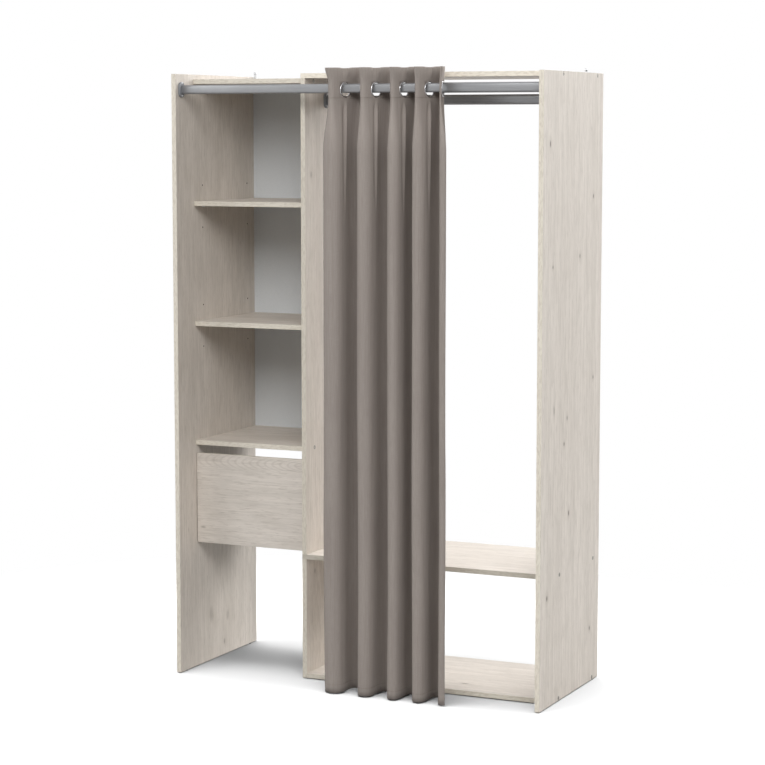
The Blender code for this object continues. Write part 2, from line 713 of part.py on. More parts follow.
def bottom_groove(drawer):
    """The slot that the drawer's bottom slides into, cut round its front and sides."""
    depth = DRAWER_GROOVE_DEPTH
    low = (DRAWER_INNER_LEFT - depth, DRAWER_BACK_OF_FRONT - depth, DRAWER_PANEL_BOTTOM - TOUCH)
    high = (DRAWER_INNER_RIGHT + depth, DRAWER_BOX_END + OVERRUN, DRAWER_PANEL_TOP + TOUCH)
    bm = bmesh.new()
    add_box(bm, low, high)
    return add_helper("drawer_bottom_groove", bm, drawer)


def runner_grooves(drawer):
    """The slots in the drawer's sides, which rest on the runners and are open at the back."""
    reach = RUNNER_THICKNESS + TOUCH - RUNNER_GAP + RUNNER_CLEARANCE
    low = RUNNER_MIDDLE - RUNNER_HEIGHT / 2 - RUNNER_UNDER_GAP
    high = RUNNER_MIDDLE + RUNNER_HEIGHT / 2 + TOUCH
    left = DRAWER_SIDE_LEFTS[0]
    right = DRAWER_SIDE_LEFTS[1] + DRAWER_BOARD
    front = RUNNER_START - RUNNER_STOP_GAP
    bm = bmesh.new()
    for start, end in ((left - OVERRUN, left + reach), (right - reach, right + OVERRUN)):
        add_box(bm, (start, front, low), (end, DRAWER_BOX_END + OVERRUN, high))
    return add_helper("drawer_runner_grooves", bm, drawer)


def drawer_box(skin, drawer):
    """The drawer: a plain wide front on a grooved box."""
    panel_groove = bottom_groove(drawer)
    side_grooves = runner_grooves(drawer)
    front_cutters = [panel_groove]
    for name, left in zip(("drawer_left_side", "drawer_right_side"), DRAWER_SIDE_LEFTS):
        low = (left, DRAWER_BOX_FRONT, DRAWER_BOX_BOTTOM)
        high = (left + DRAWER_BOARD, DRAWER_BOX_END, DRAWER_BOX_TOP)
        side = board(name, low, high, skin["drawer_box"], drawer, panel_groove, side_grooves)
        dowels, dowel_holes = drawer_dowels(name, left, drawer)
        join(side, dowels)
        front_cutters.append(dowel_holes)
    low = (BOARD + DRAWER_FRONT_GAP, SHELF_FRONT, DRAWER_FRONT_BOTTOM)
    high = (DIVIDER_LEFT - DRAWER_FRONT_GAP, DRAWER_BACK_OF_FRONT, DRAWER_FRONT_TOP)
    board("drawer_front", low, high, skin["wood"], drawer, *front_cutters)
    low = (DRAWER_INNER_LEFT + TOUCH, DRAWER_BOX_END - DRAWER_BOARD, DRAWER_PANEL_TOP + TOUCH)
    high = (DRAWER_INNER_RIGHT - TOUCH, DRAWER_BOX_END, DRAWER_BOX_TOP)
    board("drawer_back", low, high, skin["drawer_box"], drawer)
    inset = DRAWER_GROOVE_DEPTH - TOUCH
    low = (DRAWER_INNER_LEFT - inset, DRAWER_BACK_OF_FRONT - inset, DRAWER_PANEL_BOTTOM)
    high = (DRAWER_INNER_RIGHT + inset, DRAWER_BOX_END, DRAWER_PANEL_TOP)
    board("drawer_bottom", low, high, skin["white"], drawer)


def opened(height):
    """How far the folds have fallen open: 0 at the rod and 1 where the cloth hangs free."""
    share = (FOLD_HELD_HEIGHT - height) / (FOLD_HELD_HEIGHT - FOLD_FREE_HEIGHT)
    share = min(max(share, 0), 1)
    return share * share * (3 - 2 * share)


def cloth_point(phase, height):
    """A point of the cloth's middle layer, where phase counts half folds from the first front crest."""
    half = min(max(math.floor(phase), 0), HALF_FOLDS - 1)
    pitch = (FOLD_SHARES[half + 1] - FOLD_SHARES[half]) * GATHERED_WIDTH
    free = opened(height)
    x = FIRST_FOLD_X + FOLD_SHARES[half] * GATHERED_WIDTH + pitch * (phase - half)
    x += free * (HEM_SHIFT + pitch * math.sin(2 * math.pi * phase) / (2 * math.pi))
    x += min(phase, 0) * LEFT_EDGE_SPREAD * (LEFT_EDGE_HELD_SHARE + (1 - LEFT_EDGE_HELD_SHARE) * free)
    x -= max(phase - HALF_FOLDS + 0.5, 0) * RIGHT_EDGE_DRAW * (1 - free)
    middle = ROD_SETBACK + free * (HEM_SETBACK - ROD_SETBACK)
    return Vector((x, middle - FOLD_DEPTH * math.cos(math.pi * phase), height))


def cloth_side(phase, height):
    """The level direction square to the cloth, on its right-hand face."""
    step = 1 / (FOLD_STEPS * FOLD_STEPS)
    run = cloth_point(phase + step, height) - cloth_point(phase - step, height)
    return Vector((run.y, -run.x, 0)).normalized()


def eyelet_places():
    return [
        placed(cloth_point(half + 0.5, EYELET_HEIGHT), cloth_side(half + 0.5, EYELET_HEIGHT))
        for half in range(HALF_FOLDS)
    ]


def curtain_rows():
    free = [CURTAIN_HEM, (CURTAIN_HEM + FOLD_FREE_HEIGHT) / 2]
    bend = [
        FOLD_FREE_HEIGHT + share * (FOLD_HELD_HEIGHT - FOLD_FREE_HEIGHT) for share in CURTAIN_ROW_SHARES
    ]
    return [*free, *bend, CURTAIN_TOP]


def curtain_phases():
    start = FOLD_START_SHARE
    end = HALF_FOLDS + FOLD_END_SHARE
    steps = range(math.ceil(start * FOLD_STEPS), math.floor(end * FOLD_STEPS) + 1)
    return [start, *(step / FOLD_STEPS for step in steps), end]


def cloth_section(height):
    """The cloth's front face from left to right, then its back face from right to left."""
    faces = ([], [])
    for phase in curtain_phases():
        middle = cloth_point(phase, height)
        lean = cloth_side(phase, height) * CLOTH_THICKNESS / 2
        faces[0].append(middle + lean)
        faces[1].append(middle - lean)
    return faces


def curtain_cloth(skin, curtain):
    """The hanging cloth: four deep folds, held close at the rod and free below it."""
    bm = bmesh.new()
    rows = []
    for height in curtain_rows():
        front, back = cloth_section(height)
        rows.append([bm.verts.new(point) for point in (*front, *reversed(back))])
    count = len(rows[0])
    for low, high in zip(rows, rows[1:]):
        for i in range(count):
            j = (i + 1) % count
            bm.faces.new((low[i], low[j], high[j], high[i]))
    for edge in (rows[0], rows[-1]):
        for i in range(count // 2 - 1):
            bm.faces.new((edge[i], edge[i + 1], edge[count - 2 - i], edge[count - 1 - i]))
    cloth = add_object("curtain", new_mesh("curtain", bm, skin["cloth"], smooth=True), curtain)
    holes = bmesh.new()
    reach = EYELET_THICKNESS + OVERRUN
    for place in eyelet_places():
        add_turned(holes, pin_profile(EYELET_OUTER_RADIUS + TOUCH, -reach, reach), EYELET_SIDES, place)
    cut(cloth, add_helper("curtain_holes", holes, curtain))


def curtain_eyelets(skin, curtain):
    """A rounded ring in each hole of the cloth, hanging on the rod's fat tube."""
    edge = EYELET_THICKNESS * EYELET_ROUND_SHARE / 2
    middle = (EYELET_INNER_RADIUS + EYELET_OUTER_RADIUS) / 2
    profile = (
        (EYELET_INNER_RADIUS, -edge),
        (middle, -EYELET_THICKNESS / 2),
        (EYELET_OUTER_RADIUS, -edge),
        (EYELET_OUTER_RADIUS, edge),
        (middle, EYELET_THICKNESS / 2),
        (EYELET_INNER_RADIUS, edge),
    )
    bm = bmesh.new()
    add_turned(bm, profile, EYELET_SIDES, Matrix())
    mesh = new_mesh("curtain_eyelet", bm, skin["chrome"], smooth=True)
    for number, place in enumerate(eyelet_places(), start=1):
        add_object(f"curtain_eyelet_{number}", mesh, curtain, place)


def build():
    clear_scene()
    skin = finishes()
    cabinet = group_empty("cabinet_frame", -ORIGIN)
    drawer = group_empty("drawer_slide_axis", (DIVIDER_LEFT / 2, DRAWER_BOX_FRONT, RUNNER_MIDDLE), cabinet)
    curtain = group_empty("curtain_slide_axis", (ROD_OUTER_START, ROD_SETBACK, ROD_HEIGHT), cabinet)
    carcass(skin, cabinet)
    drawer_box(skin, drawer)
    curtain_cloth(skin, curtain)
    curtain_eyelets(skin, curtain)


build()
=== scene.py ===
import bisect
import math

import bmesh
import bpy
from mathutils import Matrix, Vector, noise


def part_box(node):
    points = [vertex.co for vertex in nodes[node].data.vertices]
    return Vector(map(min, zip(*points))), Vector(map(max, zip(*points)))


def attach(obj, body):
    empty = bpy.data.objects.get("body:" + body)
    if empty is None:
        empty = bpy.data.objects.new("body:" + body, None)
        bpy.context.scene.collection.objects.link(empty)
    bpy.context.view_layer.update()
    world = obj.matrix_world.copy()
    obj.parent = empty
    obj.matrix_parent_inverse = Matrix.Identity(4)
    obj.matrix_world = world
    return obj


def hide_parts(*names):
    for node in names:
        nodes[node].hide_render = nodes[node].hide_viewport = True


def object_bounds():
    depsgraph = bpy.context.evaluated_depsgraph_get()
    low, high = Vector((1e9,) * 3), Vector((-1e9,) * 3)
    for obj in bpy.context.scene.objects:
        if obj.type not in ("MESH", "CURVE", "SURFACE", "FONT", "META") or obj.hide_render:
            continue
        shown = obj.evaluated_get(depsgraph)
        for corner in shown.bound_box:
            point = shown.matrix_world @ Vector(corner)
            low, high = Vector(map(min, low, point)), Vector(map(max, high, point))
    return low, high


# Lengths are in metres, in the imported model's own frame.
print("load the frame")
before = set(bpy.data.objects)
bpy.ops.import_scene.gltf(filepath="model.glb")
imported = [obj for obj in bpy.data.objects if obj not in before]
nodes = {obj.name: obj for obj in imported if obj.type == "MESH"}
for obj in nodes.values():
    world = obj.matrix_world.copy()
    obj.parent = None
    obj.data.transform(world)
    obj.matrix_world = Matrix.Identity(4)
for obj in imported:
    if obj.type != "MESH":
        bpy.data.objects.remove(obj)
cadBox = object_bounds()

right = Vector((1, 0, 0))
left = -right
back = Vector((0, 1, 0))
up = Vector((0, 0, 1))
down = -up

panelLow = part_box("left_side_panel")[0]
corner = Vector((panelLow.x, panelLow.y, 0))  # the cabinet's left front foot
bothEnds = ("front", "back")  # of the screws, pins, glides and dowels


def middle(node):
    low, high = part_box(node)
    return (low + high) / 2


def tone(red, green, blue):
    # a colour as it looks on screen, 0 to 255
    def light(value):
        share = value / 255
        return share / 12.92 if share < 0.04045 else ((share + 0.055) / 1.055) ** 2.4

    return (light(red), light(green), light(blue), 1.0)


# Shader maths


class Wire:
    # a shader socket that takes arithmetic: 1 - wire adds a Math node
    def __init__(self, paint, socket):
        self.paint = paint
        self.socket = socket

    def __add__(self, other):
        return self.paint.math("ADD", self, other)

    def __sub__(self, other):
        return self.paint.math("SUBTRACT", self, other)

    def __rsub__(self, other):
        return self.paint.math("SUBTRACT", other, self)

    def __mul__(self, other):
        return self.paint.math("MULTIPLY", self, other)

    def __truediv__(self, other):
        return self.paint.math("DIVIDE", self, other)

    __radd__ = __add__
    __rmul__ = __mul__


class Paint:
    # a material or a world, the method that adds its nodes, and the few kinds of node it is asked for
    def __init__(self, name, world=None, **constants):
        if world:
            self.tree = world.node_tree
            return
        self.material = bpy.data.materials.new(name)
        self.material.use_nodes = True
        self.tree = self.material.node_tree
        self.shader = self.tree.nodes["Principled BSDF"]
        for socket, value in constants.items():
            self.shader.inputs[socket.replace("_", " ")].default_value = value

    def plug(self, socket, value):
        if isinstance(value, Wire):
            self.tree.links.new(value.socket, socket)
        else:
            socket.default_value = value

    def node(self, kind, settings, values, output=0):
        made = self.tree.nodes.new(kind)
        for name, value in settings.items():
            setattr(made, name, value)
        for key, value in values.items():
            self.plug(made.inputs[key], value)
        return Wire(self, made.outputs[output])

    def feed(self, **sockets):
        for socket, value in sockets.items():
            self.plug(self.shader.inputs[socket.replace("_", " ")], value)

    def math(self, operation, *values, clamp=False):
        settings = {"operation": operation, "use_clamp": clamp}
        return self.node("ShaderNodeMath", settings, dict(enumerate(values)))

    def place(self):
        return self.node("ShaderNodeTexCoord", {}, {}, 3)

    def surface(self):
        return self.node("ShaderNodeTexCoord", {}, {}, 2)

    def split(self, vector):
        made = self.node("ShaderNodeSeparateXYZ", {}, {0: vector})
        return [Wire(self, socket) for socket in made.socket.node.outputs]

    def stretched(self, vector, scale, shift=(0, 0, 0)):
        return self.node("ShaderNodeMapping", {}, {"Vector": vector, "Location": shift, "Scale": scale})

    def noise(self, vector, scale=1.0, detail=2.0, roughness=0.5):
        # the scale is one number, or one for each axis
        if isinstance(scale, tuple):
            vector, scale = self.stretched(vector, scale), 1.0
        values = {"Vector": vector, "Scale": scale, "Detail": detail, "Roughness": roughness}
        return self.node("ShaderNodeTexNoise", {}, values)

    def ramp(self, value, low, high, start=0.0, end=1.0):
        # a smooth step from start to end as the value goes from low to high
        values = {0: value, 1: low, 2: high, 3: start, 4: end}
        return self.node("ShaderNodeMapRange", {"interpolation_type": "SMOOTHSTEP"}, values)

    def mix(self, share, first, second):
        return self.node("ShaderNodeMix", {"data_type": "RGBA"}, {0: share, 6: first, 7: second}, 2)

    def bump(self, height, distance, strength=1.0):
        values = {"Height": height, "Distance": distance, "Strength": strength}
        self.feed(Normal=self.node("ShaderNodeBump", {}, values))


# Board finish

boardLook = {
    "face": tone(228, 220, 211),
    "streak": tone(206, 198, 188),
    "line": tone(186, 176, 165),
    "pore": tone(162, 152, 140),
    "knot": tone(120, 108, 97),
    "band": tone(233, 226, 212),
    "bandStreak": tone(208, 199, 184),
    "rawLight": tone(206, 184, 150),
    "rawDark": tone(150, 122, 90),
    "ring": 0.0040,
    "ringWander": 0.016,
    "knotRagged": 0.004,
    # a knot's halo and heart: where each starts and is full, in the knot's half sizes, and how much it covers
    "knotParts": {"line": (3.2, 0.8, 0.35), "knot": (1.2, 0.25, 0.9)},
    "bandDash": 0.5,  # the short strokes and the streaks of the edge bands
    "bandLine": 0.3,
    "chips": 420,
    "roughness": 0.52,
    "relief": (0.0004, 0.35),
}
# the layers of the grain, in the order they are laid: how fine the noise is across the grain and along it,
# its shift, detail and roughness; then the part of the noise that shows, how much it covers, and its tone
grainLayers = {
    "streaks": ((150, 4.5, (0, 0, 0), 4, 0.6), (0.36, 0.72), 0.70, "streak"),
    "stripes": ((22, 1.1, (3, 1, 7)), (0.35, 0.70), 0.40, "streak"),  # wide, along the whole board
    "clouds": ((30, 9, (6, 3, 8), 4), (0.45, 0.68), 0.50, "streak"),  # soft, a few centimetres long
    "rings": ((7, 1.2, (1, 8, 3)), (0.40, 0.60), 1.0, "line"),  # where the trunk's rings come through
    "fibres": ((1000, 16, (0, 0, 0), 3, 0.6), (0.50, 0.85), 0.46, "line"),
    "flecks": ((190, 27, (2, 6, 1)), (0.54, 0.70), 0.30, "line"),  # short broken strokes
    "threads": ((330, 5, (7, 7, 2)), (0.62, 0.72), 0.45, "line"),  # a few long thin dark lines
    "pores": ((360, 24, (5, 5, 5)), (0.60, 0.72), 0.34, "pore"),
}


def lifted(colour, share):
    return tuple(part * share for part in colour[:3]) + (1.0,)


def boardPaint(name, axes, heart, tilt, shift, knots, figure, paintedLight):
    # axes are the object axes along the grain, across it and through the board
    along, across, through = axes
    look = dict(boardLook)
    # painted light and shade: the board's colours are scaled by its painted light levels
    for share, parts in zip(paintedLight, (("face", "streak", "line"), ("band", "bandStreak"))):
        for part in parts:
            look[part] = lifted(look[part], share)
    paint = Paint(name, Roughness=look["roughness"], Specular_IOR_Level=0.35)
    place = paint.place()
    parts = paint.split(place)

    def grain(acrossScale, alongScale, more, detail=2, roughness=0.5):
        # noise that is drawn out along the grain
        scale = [acrossScale] * 3
        scale[along] = alongScale
        drawn = paint.stretched(place, scale, [a + b for a, b in zip(shift, more)])
        return paint.noise(drawn, 1.0, detail, roughness)

    def trunkRings(patch, stripes):
        # the rings of a trunk whose heart runs at a slant through the board
        ringShare, ringReach = figure
        wander = grain(9, 2.2, (9, 2, 4), 3)
        side = parts[across] - (corner[across] + heart) + (wander - 0.5) * look["ringWander"]
        depth = parts[along] * tilt + shift[0] * 0.01 + 0.02
        radius = paint.math("SQRT", side * side + depth * depth)
        wave = paint.math("SINE", (radius / look["ring"] + (stripes - 0.5) * 0.8) * (2 * math.pi))
        reach = paint.ramp(paint.math("ABSOLUTE", side), ringReach, ringReach * 0.35)
        return paint.ramp(wave, 0.0, 1.0) * patch * reach * ringShare

    noises, covers = {}, {}
    colour = look["face"]
    for layer, (drawn, window, share, laid) in grainLayers.items():
        noises[layer] = grain(*drawn)
        covers[layer] = paint.ramp(noises[layer], *window)
        if layer == "rings":
            covers[layer] = trunkRings(covers[layer], noises["stripes"])
        colour = paint.mix(covers[layer] * share, colour, look[laid])
    streak, fibre = noises["streaks"], noises["fibres"]
    for knotAlong, knotAcross, long, wide, strength in knots:
        u = (parts[along] - knotAlong + (fibre - 0.5) * look["knotRagged"]) / long
        v = (parts[across] - (corner[across] + knotAcross) + (streak - 0.5) * look["knotRagged"]) / wide
        away = paint.math("SQRT", u * u + v * v)
        for laid, (start, full, share) in look["knotParts"].items():
            colour = paint.mix(paint.ramp(away, start, full, 0.0, share * strength), colour, look[laid])
    # the edges wear a paler band, and the rear edge is bare particle board
    facing = paint.split(paint.node("ShaderNodeNewGeometry", {}, {}, 1))
    onFace = paint.ramp(paint.math("ABSOLUTE", facing[through]), 0.6, 0.8)
    dash = paint.ramp(grain(260, 55, (1, 1, 1)), 0.46, 0.62)
    marks = dash * look["bandDash"] + paint.ramp(streak, 0.3, 0.75) * look["bandLine"]
    colour = paint.mix(onFace, paint.mix(marks, look["band"], look["bandStreak"]), colour)
    crushed = paint.stretched(place, [look["chips"]] * 3)
    chips = paint.node("ShaderNodeTexVoronoi", {}, {"Vector": crushed, "Scale": 1.0})
    raw = paint.mix(paint.ramp(chips, 0.1, 0.75), look["rawLight"], look["rawDark"])
    rear = paint.ramp(facing[1], 0.6, 0.8) * (1 - onFace)
    colour = paint.mix(rear, colour, raw)
    paint.feed(Base_Color=colour, Roughness=look["roughness"] + (streak - 0.5) * 0.2)
    paint.bump(fibre * 0.6 + streak * 0.4 - covers["pores"] * 0.8, *look["relief"])
    return paint.material


def paintNode(node, material):
    for slot in nodes[node].material_slots:
        slot.material = material


def dressBoard(node, material, edge=0.0005):
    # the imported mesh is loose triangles, so a weld comes before the small bevel
    board = nodes[node]
    paintNode(node, material)
    weld = board.modifiers.new("weld", "WELD")
    weld.merge_threshold = 0.00002
    bevel = board.modifiers.new("soft edges", "BEVEL")
    bevel.width = edge
    bevel.segments = 2
    bevel.limit_method = "ANGLE"
    bevel.angle_limit = math.radians(60)


print("boards")
standing = (2, 1, 0)
lying = (0, 1, 2)
facing = (0, 2, 1)
# for each board the grain's axes, the trunk's heart across it, the heart's slant, and a place in the noise;
# places across a board are counted from the cabinet's left front foot
boards = {
    "left_side_panel": (standing, 0.30, 0.030, (1.7, 0.4, 2.1)),
    "right_side_panel": (standing, 0.22, 0.022, (4.2, 1.9, 0.3)),
    "upper_divider": (standing, 0.35, 0.035, (7.1, 3.3, 5.2)),
    "lower_divider": (standing, 0.20, 0.040, (2.9, 6.1, 1.2)),
    "right_top_board": (lying, 0.30, 0.030, (5.5, 2.2, 3.9)),
    "left_top_board": (lying, 0.33, 0.045, (8.3, 7.2, 1.8)),
    "upper_shelf": (lying, 0.25, 0.050, (3.1, 9.4, 6.6)),
    "middle_shelf": (lying, 0.38, 0.060, (6.4, 4.7, 8.8)),
    "fixed_shelf": (lying, 0.28, 0.045, (9.9, 5.8, 2.7)),
    "hanging_space_shelf": (lying, 0.31, 0.035, (1.3, 8.8, 9.1)),
    "bottom_shelf": (lying, 0.26, 0.040, (2.2, 3.6, 7.4)),
    "drawer_front": (facing, 0.724, -0.14, (-3.6, 1.1, 4.6)),
}
# knots: the place along the grain and across it, half the size both ways, and the strength
knotTable = {
    "left_side_panel": [
        (0.1628, 0.215, 0.034, 0.0150, 0.32),
        (0.1400, 0.333, 0.022, 0.0120, 0.32),
        (0.0495, 0.308, 0.012, 0.0070, 0.5),
    ],
    "right_side_panel": [
        (1.8016, 0.061, 0.013, 0.0066, 1.0),
        (1.6290, 0.464, 0.009, 0.0056, 1.0),
        (1.4383, 0.340, 0.009, 0.0054, 1.0),
        (1.4150, 0.092, 0.007, 0.0046, 1.0),
        (1.0300, 0.477, 0.008, 0.0046, 1.0),
        (0.9570, 0.112, 0.019, 0.0040, 1.0),
        (0.9210, 0.232, 0.009, 0.0044, 1.0),
        (0.8396, 0.206, 0.008, 0.0052, 1.0),
        (0.6073, 0.254, 0.011, 0.0062, 1.0),
        (0.3600, 0.060, 0.011, 0.0076, 1.0),
        (0.1849, 0.465, 0.009, 0.0052, 1.0),
    ],
    "upper_divider": [(1.697, 0.155, 0.014, 0.0090, 0.4)],
    "lower_divider": [(0.3602, 0.173, 0.012, 0.0060, 0.5)],
    "hanging_space_shelf": [(0.20, 0.20, 0.012, 0.004, 1.0)],
    "bottom_shelf": [(0.32, 0.20, 0.016, 0.005, 1.0)],
    "drawer_front": [(-0.62, 0.490, 0.012, 0.0045, 0.45)],
}
# how much of the trunk's rings shows, and how far from the heart
plainFigure = (0.25, 0.12)
figures = {"drawer_front": (0.34, 0.034)}
# painted light and shade: each board's face and edge band colours are scaled lighter or darker to stand in
# for how light falls on it
paintedLightLevels = {
    "left_side_panel": (1.03, 1.06),
    "right_side_panel": (1.07, 1.11),
    "lower_divider": (1.12, 1.0),
    "drawer_front": (1.05, 1.0),
    "hanging_space_shelf": (1.08, 0.84),
    "bottom_shelf": (0.98, 1.06),
    "right_top_board": (1.14, 1.24),
    "upper_shelf": (1.06, 0.98),
    "middle_shelf": (1.08, 1.0),
    "fixed_shelf": (1.08, 1.0),
}
for node, grown in boards.items():
    knots, figure, paintedLight = knotTable.get(node, []), figures.get(node, plainFigure), paintedLightLevels.get(node, (1.0, 1.0))
    dressBoard(node, boardPaint(node + "Board", *grown, knots, figure, paintedLight))


def whitePaint(name, colour, speck, roughness):
    # a white-faced panel with a fine orange-peel skin
    paint = Paint(name, Roughness=roughness, Specular_IOR_Level=0.3)
    place = paint.place()
    grain = paint.noise(place, 900, 2)
    cloud = paint.noise(place, 7, 3)
    paint.feed(Base_Color=paint.mix(paint.ramp(grain, 0.4, 0.75) * 0.6 + (cloud - 0.5) * 0.3, colour, speck))
    paint.bump(grain, 0.0002, 0.4)
    return paint.material


whiteBack = whitePaint("whiteBackPanel", tone(229, 233, 236), tone(204, 208, 211), 0.6)
whiteBox = whitePaint("whiteDrawerBoard", tone(230, 229, 226), tone(212, 211, 208), 0.5)
dressBoard("back_panel", whiteBack, 0.0003)
dressBoard("drawer_bottom", whiteBack, 0.0003)
for node in ("drawer_left_side", "drawer_right_side", "drawer_back"):
    dressBoard(node, whiteBox)


# Metal, plastic and dowel finishes


def metalPaint(name, colour, dull, roughness, metallic, stretch=(6, 260, 260), mark=0.35):
    # drawn metal: fine lines along X, faint clouds and small scuffs
    paint = Paint(name, Metallic=metallic, Roughness=roughness)
    place = paint.place()
    drawn = paint.noise(place, stretch, 3)
    cloud = paint.noise(place, 18, 3)
    scuff = paint.ramp(paint.noise(place, (60, 420, 420), 4), 0.62, 0.70)
    shade = paint.ramp(drawn, 0.3, 0.7) * 0.5 + (cloud - 0.5) * 0.4
    colour, dull = tone(*colour), tone(*dull)
    colour = paint.mix(shade, colour, dull)
    paint.feed(
        Base_Color=paint.mix(scuff * mark, colour, dull),
        Roughness=roughness + (drawn - 0.5) * 0.12 + scuff * 0.15,
    )
    paint.bump(drawn, 0.0001, 0.25)
    return paint.material


def plasticPaint(name, colour, dull, roughness):
    paint = Paint(name, Roughness=roughness)
    place = paint.place()
    skin = paint.noise(place, 1400, 2)
    cloud = paint.noise(place, 30, 3)
    paint.feed(
        Base_Color=paint.mix(paint.ramp(cloud, 0.35, 0.7) * 0.6, tone(*colour), tone(*dull)),
        Roughness=roughness + (skin - 0.5) * 0.2,
    )
    paint.bump(skin, 0.0001, 0.4)
    return paint.material


tubeMetal = metalPaint("tubeLacquer", (150, 151, 153), (132, 133, 136), 0.36, 0.45)
zincMetal = metalPaint("zincPlate", (214, 215, 216), (184, 186, 189), 0.34, 0.9, (160, 160, 160))
screwMetal = metalPaint("screwSteel", (164, 160, 152), (124, 120, 112), 0.45, 0.7, (200, 200, 200))
eyeletMetal = metalPaint("eyeletPlate", (206, 206, 208), (170, 171, 174), 0.2, 1.0, (140, 140, 140), 0.15)
cupPlastic = plasticPaint("cupPlastic", (136, 138, 142), (122, 124, 128), 0.42)
runnerPlastic = plasticPaint("runnerPlastic", (222, 221, 218), (206, 205, 202), 0.4)
glidePlastic = plasticPaint("glidePlastic", (64, 62, 60), (48, 47, 46), 0.55)


def fleckedPaint(name, light, dark, scale, roughness, specular, detail=2, end=0.7, relief=(0.0001, 0.5)):
    # one noise, as tone and as relief
    paint = Paint(name, Roughness=roughness, Specular_IOR_Level=specular)
    fleck = paint.noise(paint.place(), scale, detail)
    paint.feed(Base_Color=paint.mix(paint.ramp(fleck, 0.35, end), tone(*light), tone(*dark)))
    paint.bump(fleck, *relief)
    return paint.material


beechTones = ((206, 176, 138), (178, 142, 104))
beech = fleckedPaint("beechDowel", *beechTones, (700, 700, 60), 0.7, 0.5, 3, relief=(0.0002, 0.4))
# bare particle board, painted much darker than its own raw tone as the shade down in a bored hole
holeShadeBoard = fleckedPaint("holeShadeBoard", (88, 71, 54), (56, 44, 34), 900, 0.9, 0.1, end=0.65)
sewingThread = fleckedPaint("sewingThread", (150, 141, 132), (118, 109, 101), 2600, 0.6, 0.3)
for end in bothEnds:
    paintNode("divider_dowel_" + end, beech)


# Mesh helpers

weldReach = 0.000005  # points closer than this become one


def placed(name, data):
    made = bpy.data.objects.new(name, data)
    bpy.context.scene.collection.objects.link(made)
    return made


def meshFrom(name, bm, material):
    mesh = bpy.data.meshes.new(name)
    bm.to_mesh(mesh)
    bm.free()
    mesh.materials.append(material)
    return mesh


def keep(name, bm, material, replaces=(), body="cabinet", sharp=35):
    # the finished mesh becomes a piece that rides on a body
    bmesh.ops.remove_doubles(bm, verts=bm.verts, dist=weldReach)
    bmesh.ops.recalc_face_normals(bm, faces=bm.faces)
    mesh = meshFrom(name, bm, material)
    mesh.shade_smooth()
    mesh.set_sharp_from_angle(angle=math.radians(sharp))
    piece = placed(name, mesh)
    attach(piece, body)
    if replaces:
        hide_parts(*replaces)
    return piece


def thicken(piece, name, thickness):
    wall = piece.modifiers.new(name, "SOLIDIFY")
    wall.thickness = thickness
    wall.offset = 0
    return wall


def vertsIn(items):
    return [item for item in items if isinstance(item, bmesh.types.BMVert)]


def openEdges(items):
    return [item for item in items if isinstance(item, bmesh.types.BMEdge) and item.is_boundary]


def edgesAt(verts):
    return list({edge for vert in verts for edge in vert.link_edges})


def circleEdges(bm, steps, radius, **more):
    return edgesAt(bmesh.ops.create_circle(bm, segments=steps, radius=radius, **more)["verts"])


def drawOut(bm, edges, way):
    # pulls a wall out of these edges, and gives back what is new
    made = bmesh.ops.extrude_edge_only(bm, edges=edges)["geom"]
    bmesh.ops.translate(bm, vec=way, verts=vertsIn(made))
    return made


def soften(bm, geom, offset, segments, affect="EDGES"):
    bmesh.ops.bevel(bm, geom=geom, offset=offset, segments=segments, profile=0.5, affect=affect, material=-1)


def pour(source, target, place):
    # adds a finished small mesh to a larger one, at a place
    bmesh.ops.transform(source, matrix=place, verts=source.verts)
    mesh = bpy.data.meshes.new("poured")
    source.to_mesh(mesh)
    source.free()
    target.from_mesh(mesh)
    bpy.data.meshes.remove(mesh)


def pointed(spot, along, side=up):
    # a frame at a spot with its Z along a direction and its X towards side
    matrix = Matrix((side, along.cross(side), along)).transposed().to_4x4()
    matrix.translation = spot
    return matrix


def turn(bm, profile, steps, place):
    # spins (radius, height) points, which end on the axis or close in a ring
    points = [bm.verts.new((radius, 0, height)) for radius, height in profile]
    lines = [bm.edges.new(pair) for pair in zip(points, points[1:])]
    if profile[0][0] > 0:
        lines.append(bm.edges.new((points[-1], points[0])))
    known = set(bm.verts) - set(points)
    whole = {"angle": 2 * math.pi, "steps": steps, "use_merge": True}
    bmesh.ops.spin(bm, geom=points + lines, axis=up, cent=(0, 0, 0), **whole)
    made = [vert for vert in bm.verts if vert not in known]
    bmesh.ops.transform(bm, matrix=place, verts=made)
    bmesh.ops.remove_doubles(bm, verts=made, dist=weldReach)


def rounded(radius, height, soft, steps=3):
    # the profile of a disc whose upper rim is rounded
    rim = []
    for step in range(steps + 1):
        angle = math.pi / 2 * step / steps
        rim.append((radius - soft + soft * math.cos(angle), height - soft + soft * math.sin(angle)))
    return [(0, 0), (radius, 0), *rim, (0, height)]


def ovalLoop(bm, tall, deep, steps, x):
    # an upright oval with straight sides, drawn square to X
    turnHalf = Matrix.Rotation(math.pi / steps, 4, "Z")
    stand = Matrix.Rotation(math.pi / 2, 4, "Y")
    circle = bmesh.ops.create_circle(bm, segments=steps, radius=deep / 2, matrix=stand @ turnHalf)
    rise = (tall - deep) / 2
    for vert in circle["verts"]:
        vert.co.z += rise if vert.co.z > 0 else -rise
        vert.co.x = x
    return circle["verts"]


print("tubes")
tubeLook = {"wall": 0.0012, "steps": 48, "rim": 0.0003}


